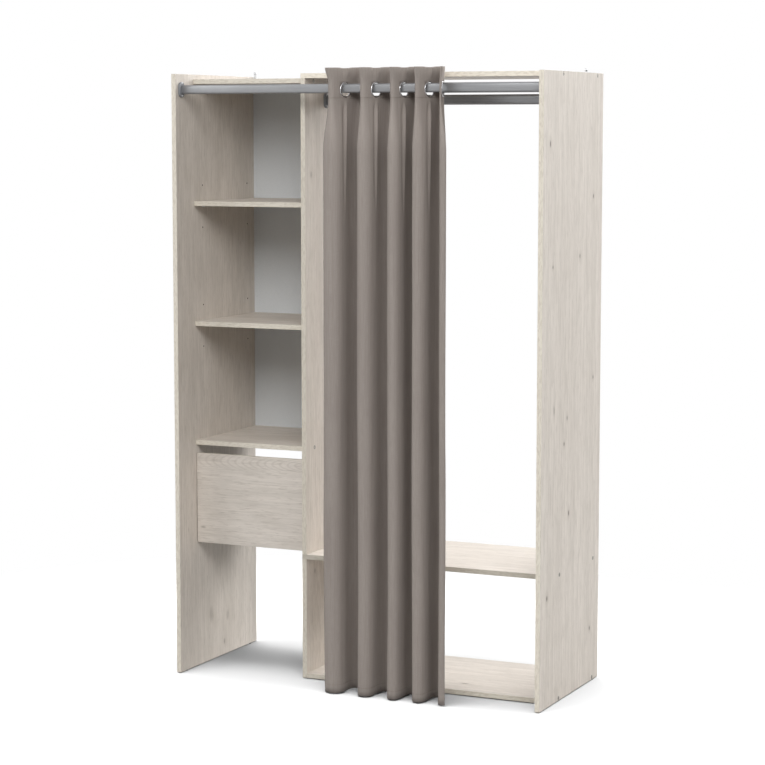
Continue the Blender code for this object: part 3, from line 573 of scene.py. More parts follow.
def tubePiece(node):
    low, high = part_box(node)
    look = tubeLook
    bm = bmesh.new()
    loop = ovalLoop(bm, high.z - low.z, high.y - low.y, look["steps"], low.x)
    drawOut(bm, edgesAt(loop), (high.x - low.x, 0, 0))
    spot = middle(node)
    bmesh.ops.translate(bm, vec=(0, spot.y, spot.z), verts=bm.verts)
    bmesh.ops.recalc_face_normals(bm, faces=bm.faces)
    bmesh.ops.solidify(bm, geom=bm.faces, thickness=look["wall"])
    soften(bm, [edge for edge in bm.edges if edge.calc_face_angle(0) > 1], look["rim"], 2)
    keep(node + "_drawn", bm, tubeMetal, [node])


for tube in ("curtain_rod", "hanging_rail"):
    tubePiece(tube + "_inner_tube")
    tubePiece(tube + "_outer_tube")


# Screws

screwLook = {
    "steps": 24,
    "head": 0.0070,
    "panelHead": 0.0024,  # how tall the right panel's heads are
    "flatHead": 0.0020,
    "proud": 0.00025,  # how far a flat head stands out of its board
    "rim": 0.0004,
    "socket": 0.0021,
    "socketDepth": 0.0018,
    "cross": 0.0034,
    "crossDepth": 0.0012,
    "woodHead": 0.0030,
    "woodTall": 0.0018,
    "armShare": 0.75,  # how slim the arms of the cross are
    "sunkShare": 0.6,  # the size of the recess at its bottom
    "flatShare": 0.8,  # the flat top of a domed head
    "domeShare": 0.45,  # the part of its height that the dome takes
    "shank": [(0, 0.002), (0.003, 0.002), (0.003, 0.042), (0.0012, 0.045), (0, 0.045)],
}


def hexHead(bm, height, place):
    # a flat disc with a six-sided socket; its top lies at the frame's origin
    disc = bmesh.new()
    outer = circleEdges(disc, screwLook["steps"], screwLook["head"])
    inner = circleEdges(disc, 6, screwLook["socket"])
    bmesh.ops.bridge_loops(disc, edges=outer + inner)
    for edges, depth in ((inner, screwLook["socketDepth"]), (outer, height)):
        wall = drawOut(disc, edges, (0, 0, -depth))
        bmesh.ops.contextual_create(disc, geom=openEdges(wall))
    soften(disc, outer, screwLook["rim"], 2)
    pour(disc, bm, place)


def crossHead(bm, height, place):
    # a domed head with a cross recess; its foot lies at the frame's origin
    head = bmesh.new()
    wide, radius = screwLook["cross"], screwLook["woodHead"]
    cross = bmesh.ops.create_grid(head, x_segments=3, y_segments=3, size=wide / 2)["verts"]
    for vert in cross:  # narrow the middle cells, so that the arms of the cross are slim
        for axis in (0, 1):
            if abs(vert.co[axis]) < wide / 4:
                vert.co[axis] *= screwLook["armShare"]
    corners = []
    for face in head.faces:
        spot = face.calc_center_median()
        if min(abs(spot.x), abs(spot.y)) > wide / 6 * 0.9:
            corners.append(face)
    bmesh.ops.delete(head, geom=corners, context="FACES")
    arms = list(head.faces)
    border = openEdges(head.edges)
    rim = circleEdges(head, screwLook["steps"], radius * screwLook["flatShare"])
    bmesh.ops.bridge_loops(head, edges=border + rim)
    sunk = vertsIn(bmesh.ops.extrude_face_region(head, geom=arms)["geom"])
    bmesh.ops.delete(head, geom=arms, context="FACES")
    narrowed = screwLook["sunkShare"]
    bmesh.ops.scale(head, vec=(narrowed, narrowed, 1), verts=sunk)
    bmesh.ops.translate(head, vec=(0, 0, -screwLook["crossDepth"]), verts=sunk)
    bmesh.ops.translate(head, vec=(0, 0, height), verts=head.verts)
    for drop in (screwLook["domeShare"], 1.0):
        side = bmesh.ops.extrude_edge_only(head, edges=openEdges(head.edges))["geom"]
        for vert in vertsIn(side):
            flat = Vector((vert.co.x, vert.co.y)).normalized() * radius
            vert.co = (flat.x, flat.y, height * (1 - drop))
    bmesh.ops.contextual_create(head, geom=openEdges(head.edges))
    pour(head, bm, place)


def woodScrews(name, tall, places):
    bm = bmesh.new()
    for place in places:
        crossHead(bm, tall, place)
    keep(name, bm, zincMetal)


print("screws")
for level in ("top", "shelf", "bottom"):
    for end in bothEnds:
        node = "right_panel_screw_" + level + "_" + end
        spot = middle(node)
        spot.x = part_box(node)[1].x
        bm = bmesh.new()
        hexHead(bm, screwLook["panelHead"], pointed(spot, right))
        turn(bm, screwLook["shank"], 16, pointed(spot, left))
        keep(node + "_head", bm, screwMetal, [node])

screwY = [middle("right_panel_screw_top_" + end).y for end in bothEnds]
boardHeights = [middle(board).z for board in ("left_top_board", "fixed_shelf")]
dividerLow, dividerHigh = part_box("upper_divider")
topLow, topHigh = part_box("right_top_board")


def headRow(name, x, heights, way):
    # the heads of screws that have no node, at both depths
    bm = bmesh.new()
    for y in screwY:
        for z in heights:
            spot = Vector((x, y, z)) + way * screwLook["proud"]
            hexHead(bm, screwLook["flatHead"], pointed(spot, way, back if way == up else up))
    keep(name, bm, screwMetal)


headRow("left_panel_screw_heads", corner.x, boardHeights, left)
headRow("divider_screw_heads", dividerHigh.x, boardHeights, right)
headRow("divider_foot_screw_heads", dividerLow.x, [middle("bottom_shelf").z], left)
headRow("top_board_screw_heads", middle("upper_divider").x, [topHigh.z], up)


# End cups

print("cups, brackets, pins, glides and runners")
fitGap = 0.0003  # the clearance between a fitting and its board or tube
cupLook = {
    "tall": 0.051,
    "deep": 0.033,
    "thick": 0.007,
    "bed": 0.002,  # the plastic left below the tube's end
    "steps": 48,
    "soft": 0.0022,
    "lip": 0.004,
    "screwRise": 0.0205,
}


def faceX(board, way):
    # where a board's side face towards way lies
    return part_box(board)[1 if way.x > 0 else 0].x


def cupPiece(node, tube, board, way):
    # an oval cup round the end of a tube; way points out of its board
    look = cupLook
    tall, deep, thick = look["tall"], look["deep"], look["thick"]
    spot = middle(node)
    tubeLow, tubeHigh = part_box(tube)
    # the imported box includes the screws, so the cup's foot is taken from its board
    foot = faceX(board, way) + way.x * fitGap
    bm = bmesh.new()
    face = bmesh.ops.contextual_create(bm, geom=ovalLoop(bm, tall, deep, look["steps"], 0))["faces"]
    grown = bmesh.ops.extrude_face_region(bm, geom=face)["geom"]
    bmesh.ops.translate(bm, vec=(way.x * thick, 0, 0), verts=vertsIn(grown))
    topFace = next(item for item in grown if isinstance(item, bmesh.types.BMFace))
    bmesh.ops.recalc_face_normals(bm, faces=bm.faces)
    soften(bm, list(topFace.edges), look["soft"], 4)
    onTop = [item for item in bm.faces if item.calc_center_median().x * way.x > thick * 0.9]
    topFace = max(onTop, key=lambda item: item.calc_area())
    bmesh.ops.inset_region(bm, faces=[topFace], thickness=look["lip"], depth=0, use_even_offset=True)
    # the inset ring becomes the mouth of the pocket, an oval round the tube
    pocketTall, pocketDeep = tubeHigh.z - tubeLow.z + 2 * fitGap, tubeHigh.y - tubeLow.y + 2 * fitGap
    rise = (pocketTall - pocketDeep) / 2
    for vert in topFace.verts:
        arm = vert.co.z - math.copysign((tall - deep) / 2, vert.co.z)
        bow = Vector((vert.co.y, arm)).normalized() * pocketDeep / 2
        vert.co.y = bow.x
        vert.co.z = bow.y + math.copysign(rise, vert.co.z)
    sunk = bmesh.ops.extrude_face_region(bm, geom=[topFace])["geom"]
    bmesh.ops.delete(bm, geom=[topFace], context="FACES_ONLY")
    bmesh.ops.translate(bm, vec=(-way.x * (thick - look["bed"]), 0, 0), verts=vertsIn(sunk))
    bmesh.ops.translate(bm, vec=(foot, spot.y, spot.z), verts=bm.verts)
    keep(node + "_moulded", bm, cupPlastic, [node])
    spot.x = foot + way.x * (thick - fitGap)
    places = [pointed(spot + up * rise, way) for rise in (look["screwRise"], -look["screwRise"])]
    woodScrews(node + "_screw_heads", screwLook["woodTall"], places)


for tube, leftBoard in (("curtain_rod", "left_side_panel"), ("hanging_rail", "upper_divider")):
    cupPiece(tube + "_left_cup", tube + "_inner_tube", leftBoard, right)
    cupPiece(tube + "_right_cup", tube + "_outer_tube", "right_side_panel", left)


# Wall brackets

bracketLook = {
    "thick": 0.0015,
    "foot": 0.030,
    "footScrew": 0.010,  # from the foot's front end
    "bend": 0.0022,
    "cornerCut": 0.0035,
    "hole": 0.0026,
    "holeDrop": 0.007,
}


def bracketPiece(node, footWay):
    # a bent strip: the foot lies along a board, the leg stands against the wall
    low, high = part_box(node)
    look = bracketLook
    half = look["thick"] / 2
    footZ = topLow.z + (fitGap + half) * footWay.z
    yBack = high.y - half
    bm = bmesh.new()
    corners = [(yBack - look["foot"] + half, footZ), (yBack, footZ), (yBack, high.z)]
    line = [bm.verts.new((low.x, y, z)) for y, z in corners]
    edges = [bm.edges.new(pair) for pair in zip(line, line[1:])]
    drawOut(bm, edges, (high.x - low.x, 0, 0))
    # a square cell round the wall hole, opened to a circle
    hole = Vector(((low.x + high.x) / 2, yBack, high.z - look["holeDrop"]))
    cell = look["hole"] * 1.5
    for way in (up, down, right, left):
        leg = [face for face in bm.faces if abs(face.calc_center_median().y - yBack) < half]
        around = {item for face in leg for item in (*face.verts, *face.edges)}
        bmesh.ops.bisect_plane(bm, geom=leg + list(around), plane_co=hole + way * cell, plane_no=way)
    square = min(bm.faces, key=lambda face: (face.calc_center_median() - hole).length)
    border = list(square.edges)
    bmesh.ops.delete(bm, geom=[square], context="FACES_ONLY")
    circle = circleEdges(bm, 16, look["hole"], matrix=pointed(hole, back))
    bmesh.ops.bridge_loops(bm, edges=border + circle)
    soften(bm, [edge for edge in bm.edges if edge.calc_face_angle(0) > 1], look["bend"], 4)
    soften(bm, [vert for vert in bm.verts if len(vert.link_edges) == 2], look["cornerCut"], 4, "VERTICES")
    piece = keep(node + "_bent", bm, zincMetal, [node], sharp=30)
    thicken(piece, "plate", look["thick"])
    place = Vector((hole.x, high.y - look["foot"] + look["footScrew"], footZ)) + footWay * half
    woodScrews(node + "_screw_head", screwLook["woodTall"], [pointed(place, footWay, right)])


# the left foot lies on the left top board and the right one under the right top board
bracketPiece("left_wall_bracket", up)
bracketPiece("right_wall_bracket", down)


# Shelf pins, glides and runners

pinHoleLook = {
    "radius": 0.00275,
    "wall": 0.00035,
    "depth": 0.0090,
    "sunk": 0.0002,
    "step": 0.0715,  # from a pin's hole to the spare ones above and below
    "steps": 16,
}


def holeWall(bm, spot, way):
    # the wall and floor of a spare pin hole, sunk into its board; its dark finish is painted shade
    outer, depth, sunk = pinHoleLook["radius"], pinHoleLook["depth"], pinHoleLook["sunk"]
    inner, bed = outer - pinHoleLook["wall"], depth - pinHoleLook["wall"]
    profile = [(0, -depth), (outer, -depth), (outer, -sunk), (inner, -sunk), (inner, -bed), (0, -bed)]
    turn(bm, profile, pinHoleLook["steps"], pointed(spot, way))


def bayWall(way):
    # the shelf bay's upright whose inner face looks towards way
    return faceX("left_side_panel" if way.x > 0 else "upper_divider", way)


pinSoft = 0.0006  # the rounding of a pin's tip
pinHoles = bmesh.new()
for shelf in ("middle", "upper"):
    for side, way in (("left", right), ("right", left)):
        for end in bothEnds:
            node = shelf + "_shelf_pin_" + side + "_" + end
            low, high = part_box(node)
            base = middle(node)
            base.x = low.x if way.x > 0 else high.x
            bm = bmesh.new()
            turn(bm, rounded((high.z - low.z) / 2, high.x - low.x, pinSoft), 20, pointed(base, way))
            keep(node + "_turned", bm, zincMetal, [node])
            for rise in (pinHoleLook["step"], -pinHoleLook["step"]):
                holeWall(pinHoles, Vector((bayWall(way), base.y, base.z + rise)), way)
keep("shelf_pin_hole_walls", pinHoles, holeShadeBoard)

# the glide's round foot and the start of its nail, as (radius, height)
glideProfile = [(0, 0), (0.0062, 0), (0.0071, 0.0004), (0.0075, 0.0012), (0.0075, 0.0027), (0.0012, 0.0027)]
for upright in ("left_panel", "divider", "right_panel"):
    for end in bothEnds:
        node = upright + "_glide_" + end
        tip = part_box(node)[1].z
        spot = middle(node)
        spot.z = 0
        bm = bmesh.new()
        turn(bm, [*glideProfile, (0.0012, tip - 0.003), (0, tip)], 32, pointed(spot, up, right))
        keep(node + "_moulded", bm, glidePlastic, [node])

runnerLook = {"thick": 0.0085, "corner": 0.0042, "soft": 0.0006, "screwIn": 0.020, "screwTall": 0.0004}


def runnerPiece(node, way):
    # a plastic strip with rounded ends and two sunk screw heads
    low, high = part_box(node)
    look = runnerLook
    near = bayWall(way) + way.x * fitGap
    far = near + way.x * look["thick"]
    size = Vector((abs(far - near), high.y - low.y, high.z - low.z))
    spot = middle(node)
    spot.x = (near + far) / 2
    bm = bmesh.new()
    bmesh.ops.create_cube(bm, size=1, matrix=Matrix.Translation(spot) @ Matrix.Diagonal((*size, 1)))
    ends = [edge for edge in bm.edges if abs((edge.verts[0].co - edge.verts[1].co).x) > 0.001]
    soften(bm, ends, look["corner"], 5)
    outer = [edge for edge in bm.edges if all(abs(vert.co.x - far) < 0.0001 for vert in edge.verts)]
    soften(bm, outer, look["soft"], 2)
    keep(node + "_strip", bm, runnerPlastic, [node])
    ys = (low.y + look["screwIn"], high.y - look["screwIn"])
    places = [pointed(Vector((far, y, spot.z)), way) for y in ys]
    woodScrews(node + "_screw_heads", look["screwTall"], places)


runnerPiece("left_drawer_runner", right)
runnerPiece("right_drawer_runner", left)

nailLook = {
    "rows": 6,
    "inset": 0.008,
    "shank": [(0, -0.004), (0.0006, -0.004), (0.0006, 0)],
    "head": [(0.0016, 0), (0.0017, 0.0003), (0.0012, 0.0006), (0, 0.0007)],
}


def backNails():
    low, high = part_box("back_panel")
    inset, rows = nailLook["inset"], nailLook["rows"]
    bm = bmesh.new()
    for row in range(rows):
        z = low.z + inset + (high.z - low.z - 2 * inset) * row / (rows - 1)
        for x in (low.x + inset, high.x - inset):
            turn(bm, nailLook["shank"] + nailLook["head"], 12, pointed(Vector((x, high.y, z)), back))
    keep("back_panel_nails", bm, zincMetal)


backNails()


# Curtain

print("curtain")
curtainLook = {
    "foldShares": (0, 0.133, 0.284, 0.408, 0.551, 0.643, 0.765, 0.880, 1),
    "gathered": 0.392,  # from the first front fold to the last, along the rod
    "firstFold": 0.600,
    "startPhase": -0.40,
    "endPhase": 8.10,
    "foldDepth": 0.050,
    "rodY": 0.033,
    "hemY": 0.002,
    "hemShift": 0.013,
    "rodZ": 1.978,
    "ringZ": 1.9733,
    "top": 2.0445,
    "hem": 0.0045,
    "heldDrop": 0.034,
    "freeDrop": 0.200,
    "headFlare": 0.009,
    "leftSpread": 0.042,
    "leftShares": (0.32, 0.68, 0.7),  # of that spread: at the rod, more when free, more at the top
    "flareRise": (0.016, 0.070),  # how far above the rod the heading starts to flare, and flares fully
    "rightDraw": 0.023,
    "rightFlare": 0.6,
    "columns": 264,
    "rows": 150,
    "headHeight": 0.22,  # the part of the height with closer rows
    "headRows": (0.58, 0.42),  # the shares of the rows below and in it
    "ringHole": 0.0232,
    "ringBlock": 0.0295,
    "ringFlat": (0.0235, 0.027),  # from the ring's middle: flat up to here, then it blends
    "ringStiff": (0.0265, 0.036),
    "thick": 0.0016,
    "thinShare": 0.55,
    "hemDepth": 0.030,
    "sideHem": 0.014,
    "headBand": 0.100,
    "creases": 16.0,  # how strongly the slack of the heading is lined
    "creasesStart": (0.02, 0.07),  # how far below the rod the creases begin, and end
    "creasesEnd": (0.12, 0.55),
}
# below each ring the slack buckles into a narrow pleat, and above it the top edge puckers in two tucks
# each bump of their waves has a middle, a width and a height
pleatLook = {
    "pleat": 0.0050,
    "pleatWave": ((0.004, 0.0045, 1.0), (-0.006, 0.0055, -1.2)),
    "tuck": 0.0042,
    "tuckWave": ((0.009, 0.007, 1.0), (-0.010, 0.007, -0.9)),
    "dip": 0.0022,
    "dipWidth": 0.020,
    "reach": 0.05,
    "tuckRise": (0.024, 0.062),  # above the rod
    "pleatStart": (0.03, 0.09),  # below the rod
    "pleatEnd": (0.16, 0.46),
    "ripples": ((0.0016, 16, 1.1, 4.0), (0.0007, 55, 5.0, 9.0)),  # height, how close they lie both ways, seed
    "sway": 0.0035,
    "crown": 0.0014,  # how much the top edge rises over the front folds
}
look = curtainLook
halfFolds = len(look["foldShares"]) - 1


def smooth(value, low, high):
    share = min(max((value - low) / (high - low), 0), 1)
    return share * share * (3 - 2 * share)


def foldPlace(phase, z):
    # the cloth's plain wave; the phase counts half folds from the first front one
    half = min(max(math.floor(phase), 0), halfFolds - 1)
    shares = look["foldShares"]
    pitch = (shares[half + 1] - shares[half]) * look["gathered"]
    free = smooth(look["rodZ"] - z, look["heldDrop"], look["freeDrop"])
    flare = smooth(z - look["rodZ"], *look["flareRise"])
    x = look["firstFold"] + shares[half] * look["gathered"] + pitch * (phase - half)
    x += free * (look["hemShift"] + pitch * math.sin(2 * math.pi * phase) / (2 * math.pi))
    held, freed, flared = look["leftShares"]
    x += min(phase, 0) * look["leftSpread"] * (held + freed * free + flared * flare)
    x += max(phase - halfFolds + 0.5, 0) * look["rightDraw"] * (free - 1 + look["rightFlare"] * flare)
    depth = look["foldDepth"] + look["headFlare"] * flare
    y = look["rodY"] + free * (look["hemY"] - look["rodY"]) - depth * math.cos(math.pi * phase)
    return Vector((x, y, z))


def foldSide(phase, z):
    # level and square to the cloth, towards its front right
    run = foldPlace(phase + 0.02, z) - foldPlace(phase - 0.02, z)
    return Vector((run.y, -run.x, 0)).normalized()


def arcTable(z, steps=1200):
    # the cloth's length along the wave at one height, and the phases it is known for
    start, end = look["startPhase"], look["endPhase"]
    phases = [start + (end - start) * step / steps for step in range(steps + 1)]
    lengths = [0.0]
    for last, phase in zip(phases, phases[1:]):
        lengths.append(lengths[-1] + (foldPlace(phase, z) - foldPlace(last, z)).length)
    return lengths, phases


def between(value, known, wanted):
    # reads a table of two rising lists at a value of the first
    step = min(max(bisect.bisect(known, value) - 1, 0), len(known) - 2)
    share = (value - known[step]) / (known[step + 1] - known[step])
    return wanted[step] + (wanted[step + 1] - wanted[step]) * share


runs, phases = arcTable(look["rodZ"])
clothWidth = runs[-1]
clothHeight = look["top"] - look["hem"]
print("cloth width at rod and hem", round(clothWidth, 4), round(arcTable(0.1)[0][-1], 4))

rings = []
for number in range(halfFolds):
    phase = number + 0.5
    ringRun = between(phase, phases, runs)
    rings.append((ringRun, foldPlace(phase, look["ringZ"]), foldSide(phase, look["ringZ"])))


def bumps(near, wave):
    return sum(height * math.exp(-(((near - centre) / width) ** 2)) for centre, width, height in wave)


def clothPlace(run, z, proud=0.0):
    # a point of the hung cloth, from its place on the flat one
    pleats = pleatLook
    phase = between(run, runs, phases)
    spot = foldPlace(phase, z)
    side = foldSide(phase, z)
    fall = look["rodZ"] - z
    shift = 0.0
    above = smooth(-fall, *pleats["tuckRise"])
    for number, (ringRun, ringSpot, ringSide) in enumerate(rings):
        near = run - ringRun
        if abs(near) < pleats["reach"]:
            way = 1 if number % 2 == 0 else -1
            below = smooth(fall, *pleats["pleatStart"]) * (1 - smooth(fall, *pleats["pleatEnd"]))
            shift += way * pleats["pleat"] * bumps(near, pleats["pleatWave"]) * below
            shift += way * pleats["tuck"] * bumps(near, pleats["tuckWave"]) * above
            spot.z -= pleats["dip"] * math.exp(-((near / pleats["dipWidth"]) ** 2)) * above
    loose = smooth(fall, 0.0, 0.25)
    for height, across, along, seed in pleats["ripples"]:
        shift += loose * height * noise.noise(Vector((run * across, z * along, seed)))
    spot = spot + side * shift
    spot.x += noise.noise(Vector((phase * 0.6, z * 1.3, 2.0))) * pleats["sway"] * smooth(fall, 0.2, 1.6)
    if z > look["rodZ"]:
        spot.z += pleats["crown"] * (0.4 - math.cos(math.pi * phase)) * smooth(z, look["rodZ"], look["top"])
    for ringRun, ringSpot, ringSide in rings:
        gap = math.hypot(run - ringRun, z - look["ringZ"])
        if gap < look["ringStiff"][1]:
            # stiff and flat under the ring
            level = (spot - ringSpot).dot(ringSide)
            spot -= ringSide * level * (1 - smooth(gap, *look["ringStiff"]))
            if gap < look["ringFlat"][1]:
                along = Vector((-ringSide.y, ringSide.x, 0))
                flat = ringSpot + along * (run - ringRun) + up * (z - look["ringZ"])
                spot = spot.lerp(flat, 1 - smooth(gap, *look["ringFlat"]))
    return corner + (spot + side * proud)


def slackAt(run, z):
    # how much the narrow creases of the heading show: on the flanks, below the rod
    fall = look["rodZ"] - z
    flank = math.sin(math.pi * between(run, runs, phases)) ** 2
    return flank * smooth(fall, *look["creasesStart"]) * (1 - smooth(fall, *look["creasesEnd"]))


def flatHeight(share):
    # rows lie closer together at the heading
    head = look["headHeight"]
    bodyRows, headRows = look["headRows"]
    if share > 1 - headRows:
        return look["top"] - head * (1 - share) / headRows
    return look["hem"] + (clothHeight - head) * share / bodyRows


def cutRing(bm, ringRun):
    # a block of cells goes, and its border is drawn in to a circle
    centre = Vector((ringRun, look["ringZ"], 0))
    block = []
    for face in bm.faces:
        away = face.calc_center_median() - centre
        if max(abs(away.x), abs(away.y)) < look["ringBlock"]:
            block.append(face)
    inside = set(block)
    border = []
    for face in block:
        for edge in face.edges:
            if any(other not in inside for other in edge.link_faces):
                border.append(edge)
    bmesh.ops.delete(bm, geom=block, context="FACES")
    for vert in vertsIn(bmesh.ops.extrude_edge_only(bm, edges=border)["geom"]):
        vert.co = centre + (vert.co - centre).normalized() * look["ringHole"]


def clothPiece():
    bm = bmesh.new()
    bmesh.ops.create_grid(bm, x_segments=look["columns"], y_segments=look["rows"], size=0.5)
    for vert in bm.verts:
        vert.co = ((vert.co.x + 0.5) * clothWidth, flatHeight(vert.co.y + 0.5), 0)
    for ring in rings:
        cutRing(bm, ring[0])
    bmesh.ops.recalc_face_normals(bm, faces=bm.faces)
    thread = bm.loops.layers.uv.new("thread")
    slack = bm.loops.layers.uv.new("slack")
    thickness = bm.verts.layers.deform.new()
    for face in bm.faces:
        for loop in face.loops:
            run, z = loop.vert.co.x, loop.vert.co.y
            loop[thread].uv = (run, z)
            loop[slack].uv = (slackAt(run, z), 0)
    for vert in bm.verts:
        run, z = vert.co.x, vert.co.y
        hem = smooth(look["hem"] + look["hemDepth"] - z, -0.001, 0.003)
        side = smooth(look["sideHem"] - min(run, clothWidth - run), -0.002, 0.002)
        head = smooth(z - (look["top"] - look["headBand"]), -0.002, 0.003)
        vert[thickness][0] = look["thinShare"] + (1 - look["thinShare"]) * max(hem, side, head)
        vert.co = clothPlace(run, z)
    mesh = meshFrom("curtain_cloth", bm, clothPaint())
    mesh.shade_smooth()
    piece = placed("curtain_cloth", mesh)
    piece.vertex_groups.new(name="doubled")
    thicken(piece, "cloth thickness", look["thick"]).vertex_group = "doubled"
    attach(piece, "curtain")
    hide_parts("curtain")
    return piece


weaveLook = {
    "light": tone(170, 161, 154),
    "dark": tone(149, 139, 133),
    "slub": tone(138, 127, 121),
    "cloud": tone(132, 120, 116),
    "roughness": 0.82,
    "sheen": 0.06,
    "threads": 5200,  # radians of the weave to a metre
    "warp": (1500, 22, 1),  # how fine the noises are, across the cloth and down it
    "weft": (60, 1500, 1),
    "creases": (105, 1.7, 1),
    # the layers over the threads: how fine, what part of the noise shows, and how much it covers
    "layers": {"slub": ((240, 3, 1), (0.45, 0.7), 0.22), "cloud": ((6, 3, 1), (0.4, 0.7), 0.12)},
}


def clothPaint():
    weave = weaveLook
    paint = Paint("taupeWeave", Specular_IOR_Level=0.2, Sheen_Weight=weave["sheen"], Sheen_Roughness=0.5)
    flat = paint.surface()
    parts = paint.split(flat)
    warp, weft, creases = (paint.noise(flat, weave[kind], 2) for kind in ("warp", "weft", "creases"))
    cross = paint.math("SINE", parts[0] * weave["threads"]) * paint.math("SINE", parts[1] * weave["threads"])
    threads = warp * 0.65 + weft * 0.35
    colour = paint.mix(paint.ramp(threads, 0.36, 0.64) * 0.45, weave["light"], weave["dark"])
    for laid, (scale, window, share) in weave["layers"].items():
        colour = paint.mix(paint.ramp(paint.noise(flat, scale, 3), *window) * share, colour, weave[laid])
    paint.feed(Base_Color=colour, Roughness=weave["roughness"] + threads * 0.12)
    slack = paint.split(paint.node("ShaderNodeUVMap", {"uv_map": "slack"}, {}))[0]
    paint.bump(threads + cross * 0.15 + creases * slack * look["creases"], 0.0003, 0.35)
    return paint.material


cloth = clothPiece()


stitchLook = {
    "step": 0.0034,
    "cells": 4,  # along one stitch, the last one is the gap
    "width": 0.0007,
    "thick": 0.0004,
    "proud": 0.00095,
    "crown": 1.35,
    "fromHem": 0.003,
    "fromSide": 0.002,
    "ends": 0.01,
}


def stitchRows():
    # short proud threads beside every hem, on both faces of the cloth
    bm = bmesh.new()
    sew = stitchLook
    cells, ends = sew["cells"], sew["ends"]
    hemZ = look["hem"] + look["hemDepth"] - sew["fromHem"]
    headZ = look["top"] - look["headBand"] + sew["fromHem"]
    sides = (look["sideHem"] - sew["fromSide"], clothWidth - look["sideHem"] + sew["fromSide"])
    rows = [(hemZ, None), (headZ, None), (None, sides[0]), (None, sides[1])]
    for level, run in rows:
        length = (clothWidth if run is None else clothHeight) - 2 * ends
        count = int(length / sew["step"])
        for proud in (sew["proud"], -sew["proud"]):
            line = bmesh.new()
            bmesh.ops.create_grid(line, x_segments=count * cells, y_segments=2, size=0.5)
            gaps = []
            for face in line.faces:
                cell = int((face.calc_center_median().x + 0.5) * count * cells)
                if cell % cells == cells - 1:
                    gaps.append(face)
            bmesh.ops.delete(line, geom=gaps, context="FACES")
            for vert in line.verts:
                far = ends + (vert.co.x + 0.5) * length
                aside = vert.co.y * sew["width"]
                crown = proud * (sew["crown"] if abs(vert.co.y) < 0.1 else 1.0)
                place = (far, level + aside) if run is None else (run + aside, look["hem"] + far)
                vert.co = clothPlace(*place, crown)
            pour(line, bm, Matrix.Identity(4))
    stitches = keep("curtain_stitches", bm, sewingThread, body="curtain", sharp=60)
    thicken(stitches, "thread", sew["thick"])
    return stitches


stitches = stitchRows()

# the crown runs from the inner rim to the outer one, as (share of the width, share of the half thickness)
eyeletLook = {
    "inner": 0.0215,
    "outer": 0.0250,
    "half": 0.0020,
    "steps": 64,
    "crown": ((0.0, 0.55), (0.10, 0.85), (0.32, 1.0), (0.60, 0.95), (0.85, 0.72), (1.0, 0.42)),
}


def eyeletPiece(number, spot, side):
    # a pressed ring: rounded on both faces, with a plain throat
    inner, wide = eyeletLook["inner"], eyeletLook["outer"] - eyeletLook["inner"]
    crown = [(inner + wide * share, eyeletLook["half"] * rise) for share, rise in eyeletLook["crown"]]
    profile = crown + [(radius, -height) for radius, height in reversed(crown)]
    bm = bmesh.new()
    turn(bm, profile, eyeletLook["steps"], pointed(corner + spot, side))
    node = "curtain_eyelet_" + str(number)
    return keep(node + "_pressed", bm, eyeletMetal, [node], "curtain", 50)


eyelets = [eyeletPiece(number, spot, side) for number, (run, spot, side) in enumerate(rings, start=1)]


# Floor, light and camera

print("floor, light and camera")
roomLook = {
    "floorSize": 60.0,
    "floorTone": 0.80,
    "floorBounce": (0.42, 0.10),  # beside the cabinet and further out
    "bounceReach": (0.3, 2.5),
    # the floor's tone in reflections is darker than the floor that is seen: painted shade in the tubes and
    # other shiny things
    "floorMirrored": 0.26,  # its tone in the tubes and other shiny things
    "whiteFrom": 0.9,
    "whiteReach": 0.8,
    "floorBox": ((0.0, -0.2, 4.6), (0.0, -0.2, 0), (5.6, 6.0), 960.0),  # spot, aim, size and power
}


def floorSheet(name, paint):
    bm = bmesh.new()
    bmesh.ops.create_grid(bm, x_segments=1, y_segments=1, size=roomLook["floorSize"] / 2)
    floor = placed(name, meshFrom(name, bm, paint.material))
    floor.visible_shadow = False
    return floor


def fromCabinet(paint):
    # how far a place on the floor is from the cabinet's footprint
    parts = paint.split(paint.place())
    low, high = cadBox
    total = 0.0
    for axis in (0, 1):
        centre, half = (low[axis] + high[axis]) / 2, (high[axis] - low[axis]) / 2
        gap = paint.math("MAXIMUM", paint.math("ABSOLUTE", parts[axis] - centre) - half, 0.0)
        total = gap * gap + total
    return paint.math("SQRT", total)


def rayShare(paint, kind):
    # 1 for rays of this kind, 0 for the others
    return Wire(paint, paint.node("ShaderNodeLightPath", {}, {}).socket.node.outputs["Is " + kind + " Ray"])


def showSurface(paint, shader):
    paint.tree.links.new(shader.socket, paint.tree.nodes["Material Output"].inputs["Surface"])


def shownFloor():
    # the floor that is seen: it takes the cabinet's shadow, and further out it is white
    lit, mirrored = ((level, level, level, 1) for level in (roomLook["floorTone"], roomLook["floorMirrored"]))
    paint = Paint("paleFloor", Roughness=0.9, Specular_IOR_Level=0.0)
    # shiny things see the floor darker than it is: painted shade in their reflections
    paint.feed(Base_Color=paint.mix(rayShare(paint, "Glossy"), lit, mirrored))
    glow = paint.node("ShaderNodeEmission", {}, {"Color": (1, 1, 1, 1), "Strength": 1.0})
    start = roomLook["whiteFrom"]
    share = paint.ramp(fromCabinet(paint), start, start + roomLook["whiteReach"])
    shaded = Wire(paint, paint.shader.outputs[0])
    showSurface(paint, paint.node("ShaderNodeMixShader", {}, {0: share, 1: shaded, 2: glow}))
    floor = floorSheet("floor", paint)
    floor.visible_diffuse = False
    return floor


def bounceFloor():
    # the floor that only throws light back on the cabinet, from near it
    paint = Paint("floorBounce", Roughness=0.9, Specular_IOR_Level=0.0)
    thrown = paint.ramp(fromCabinet(paint), *roomLook["bounceReach"], *roomLook["floorBounce"])
    showSurface(paint, paint.node("ShaderNodeBsdfDiffuse", {}, {"Color": thrown}))
    floor = floorSheet("floorBounce", paint)
    floor.visible_camera = False
    floor.visible_glossy = False
    floor.visible_transmission = False


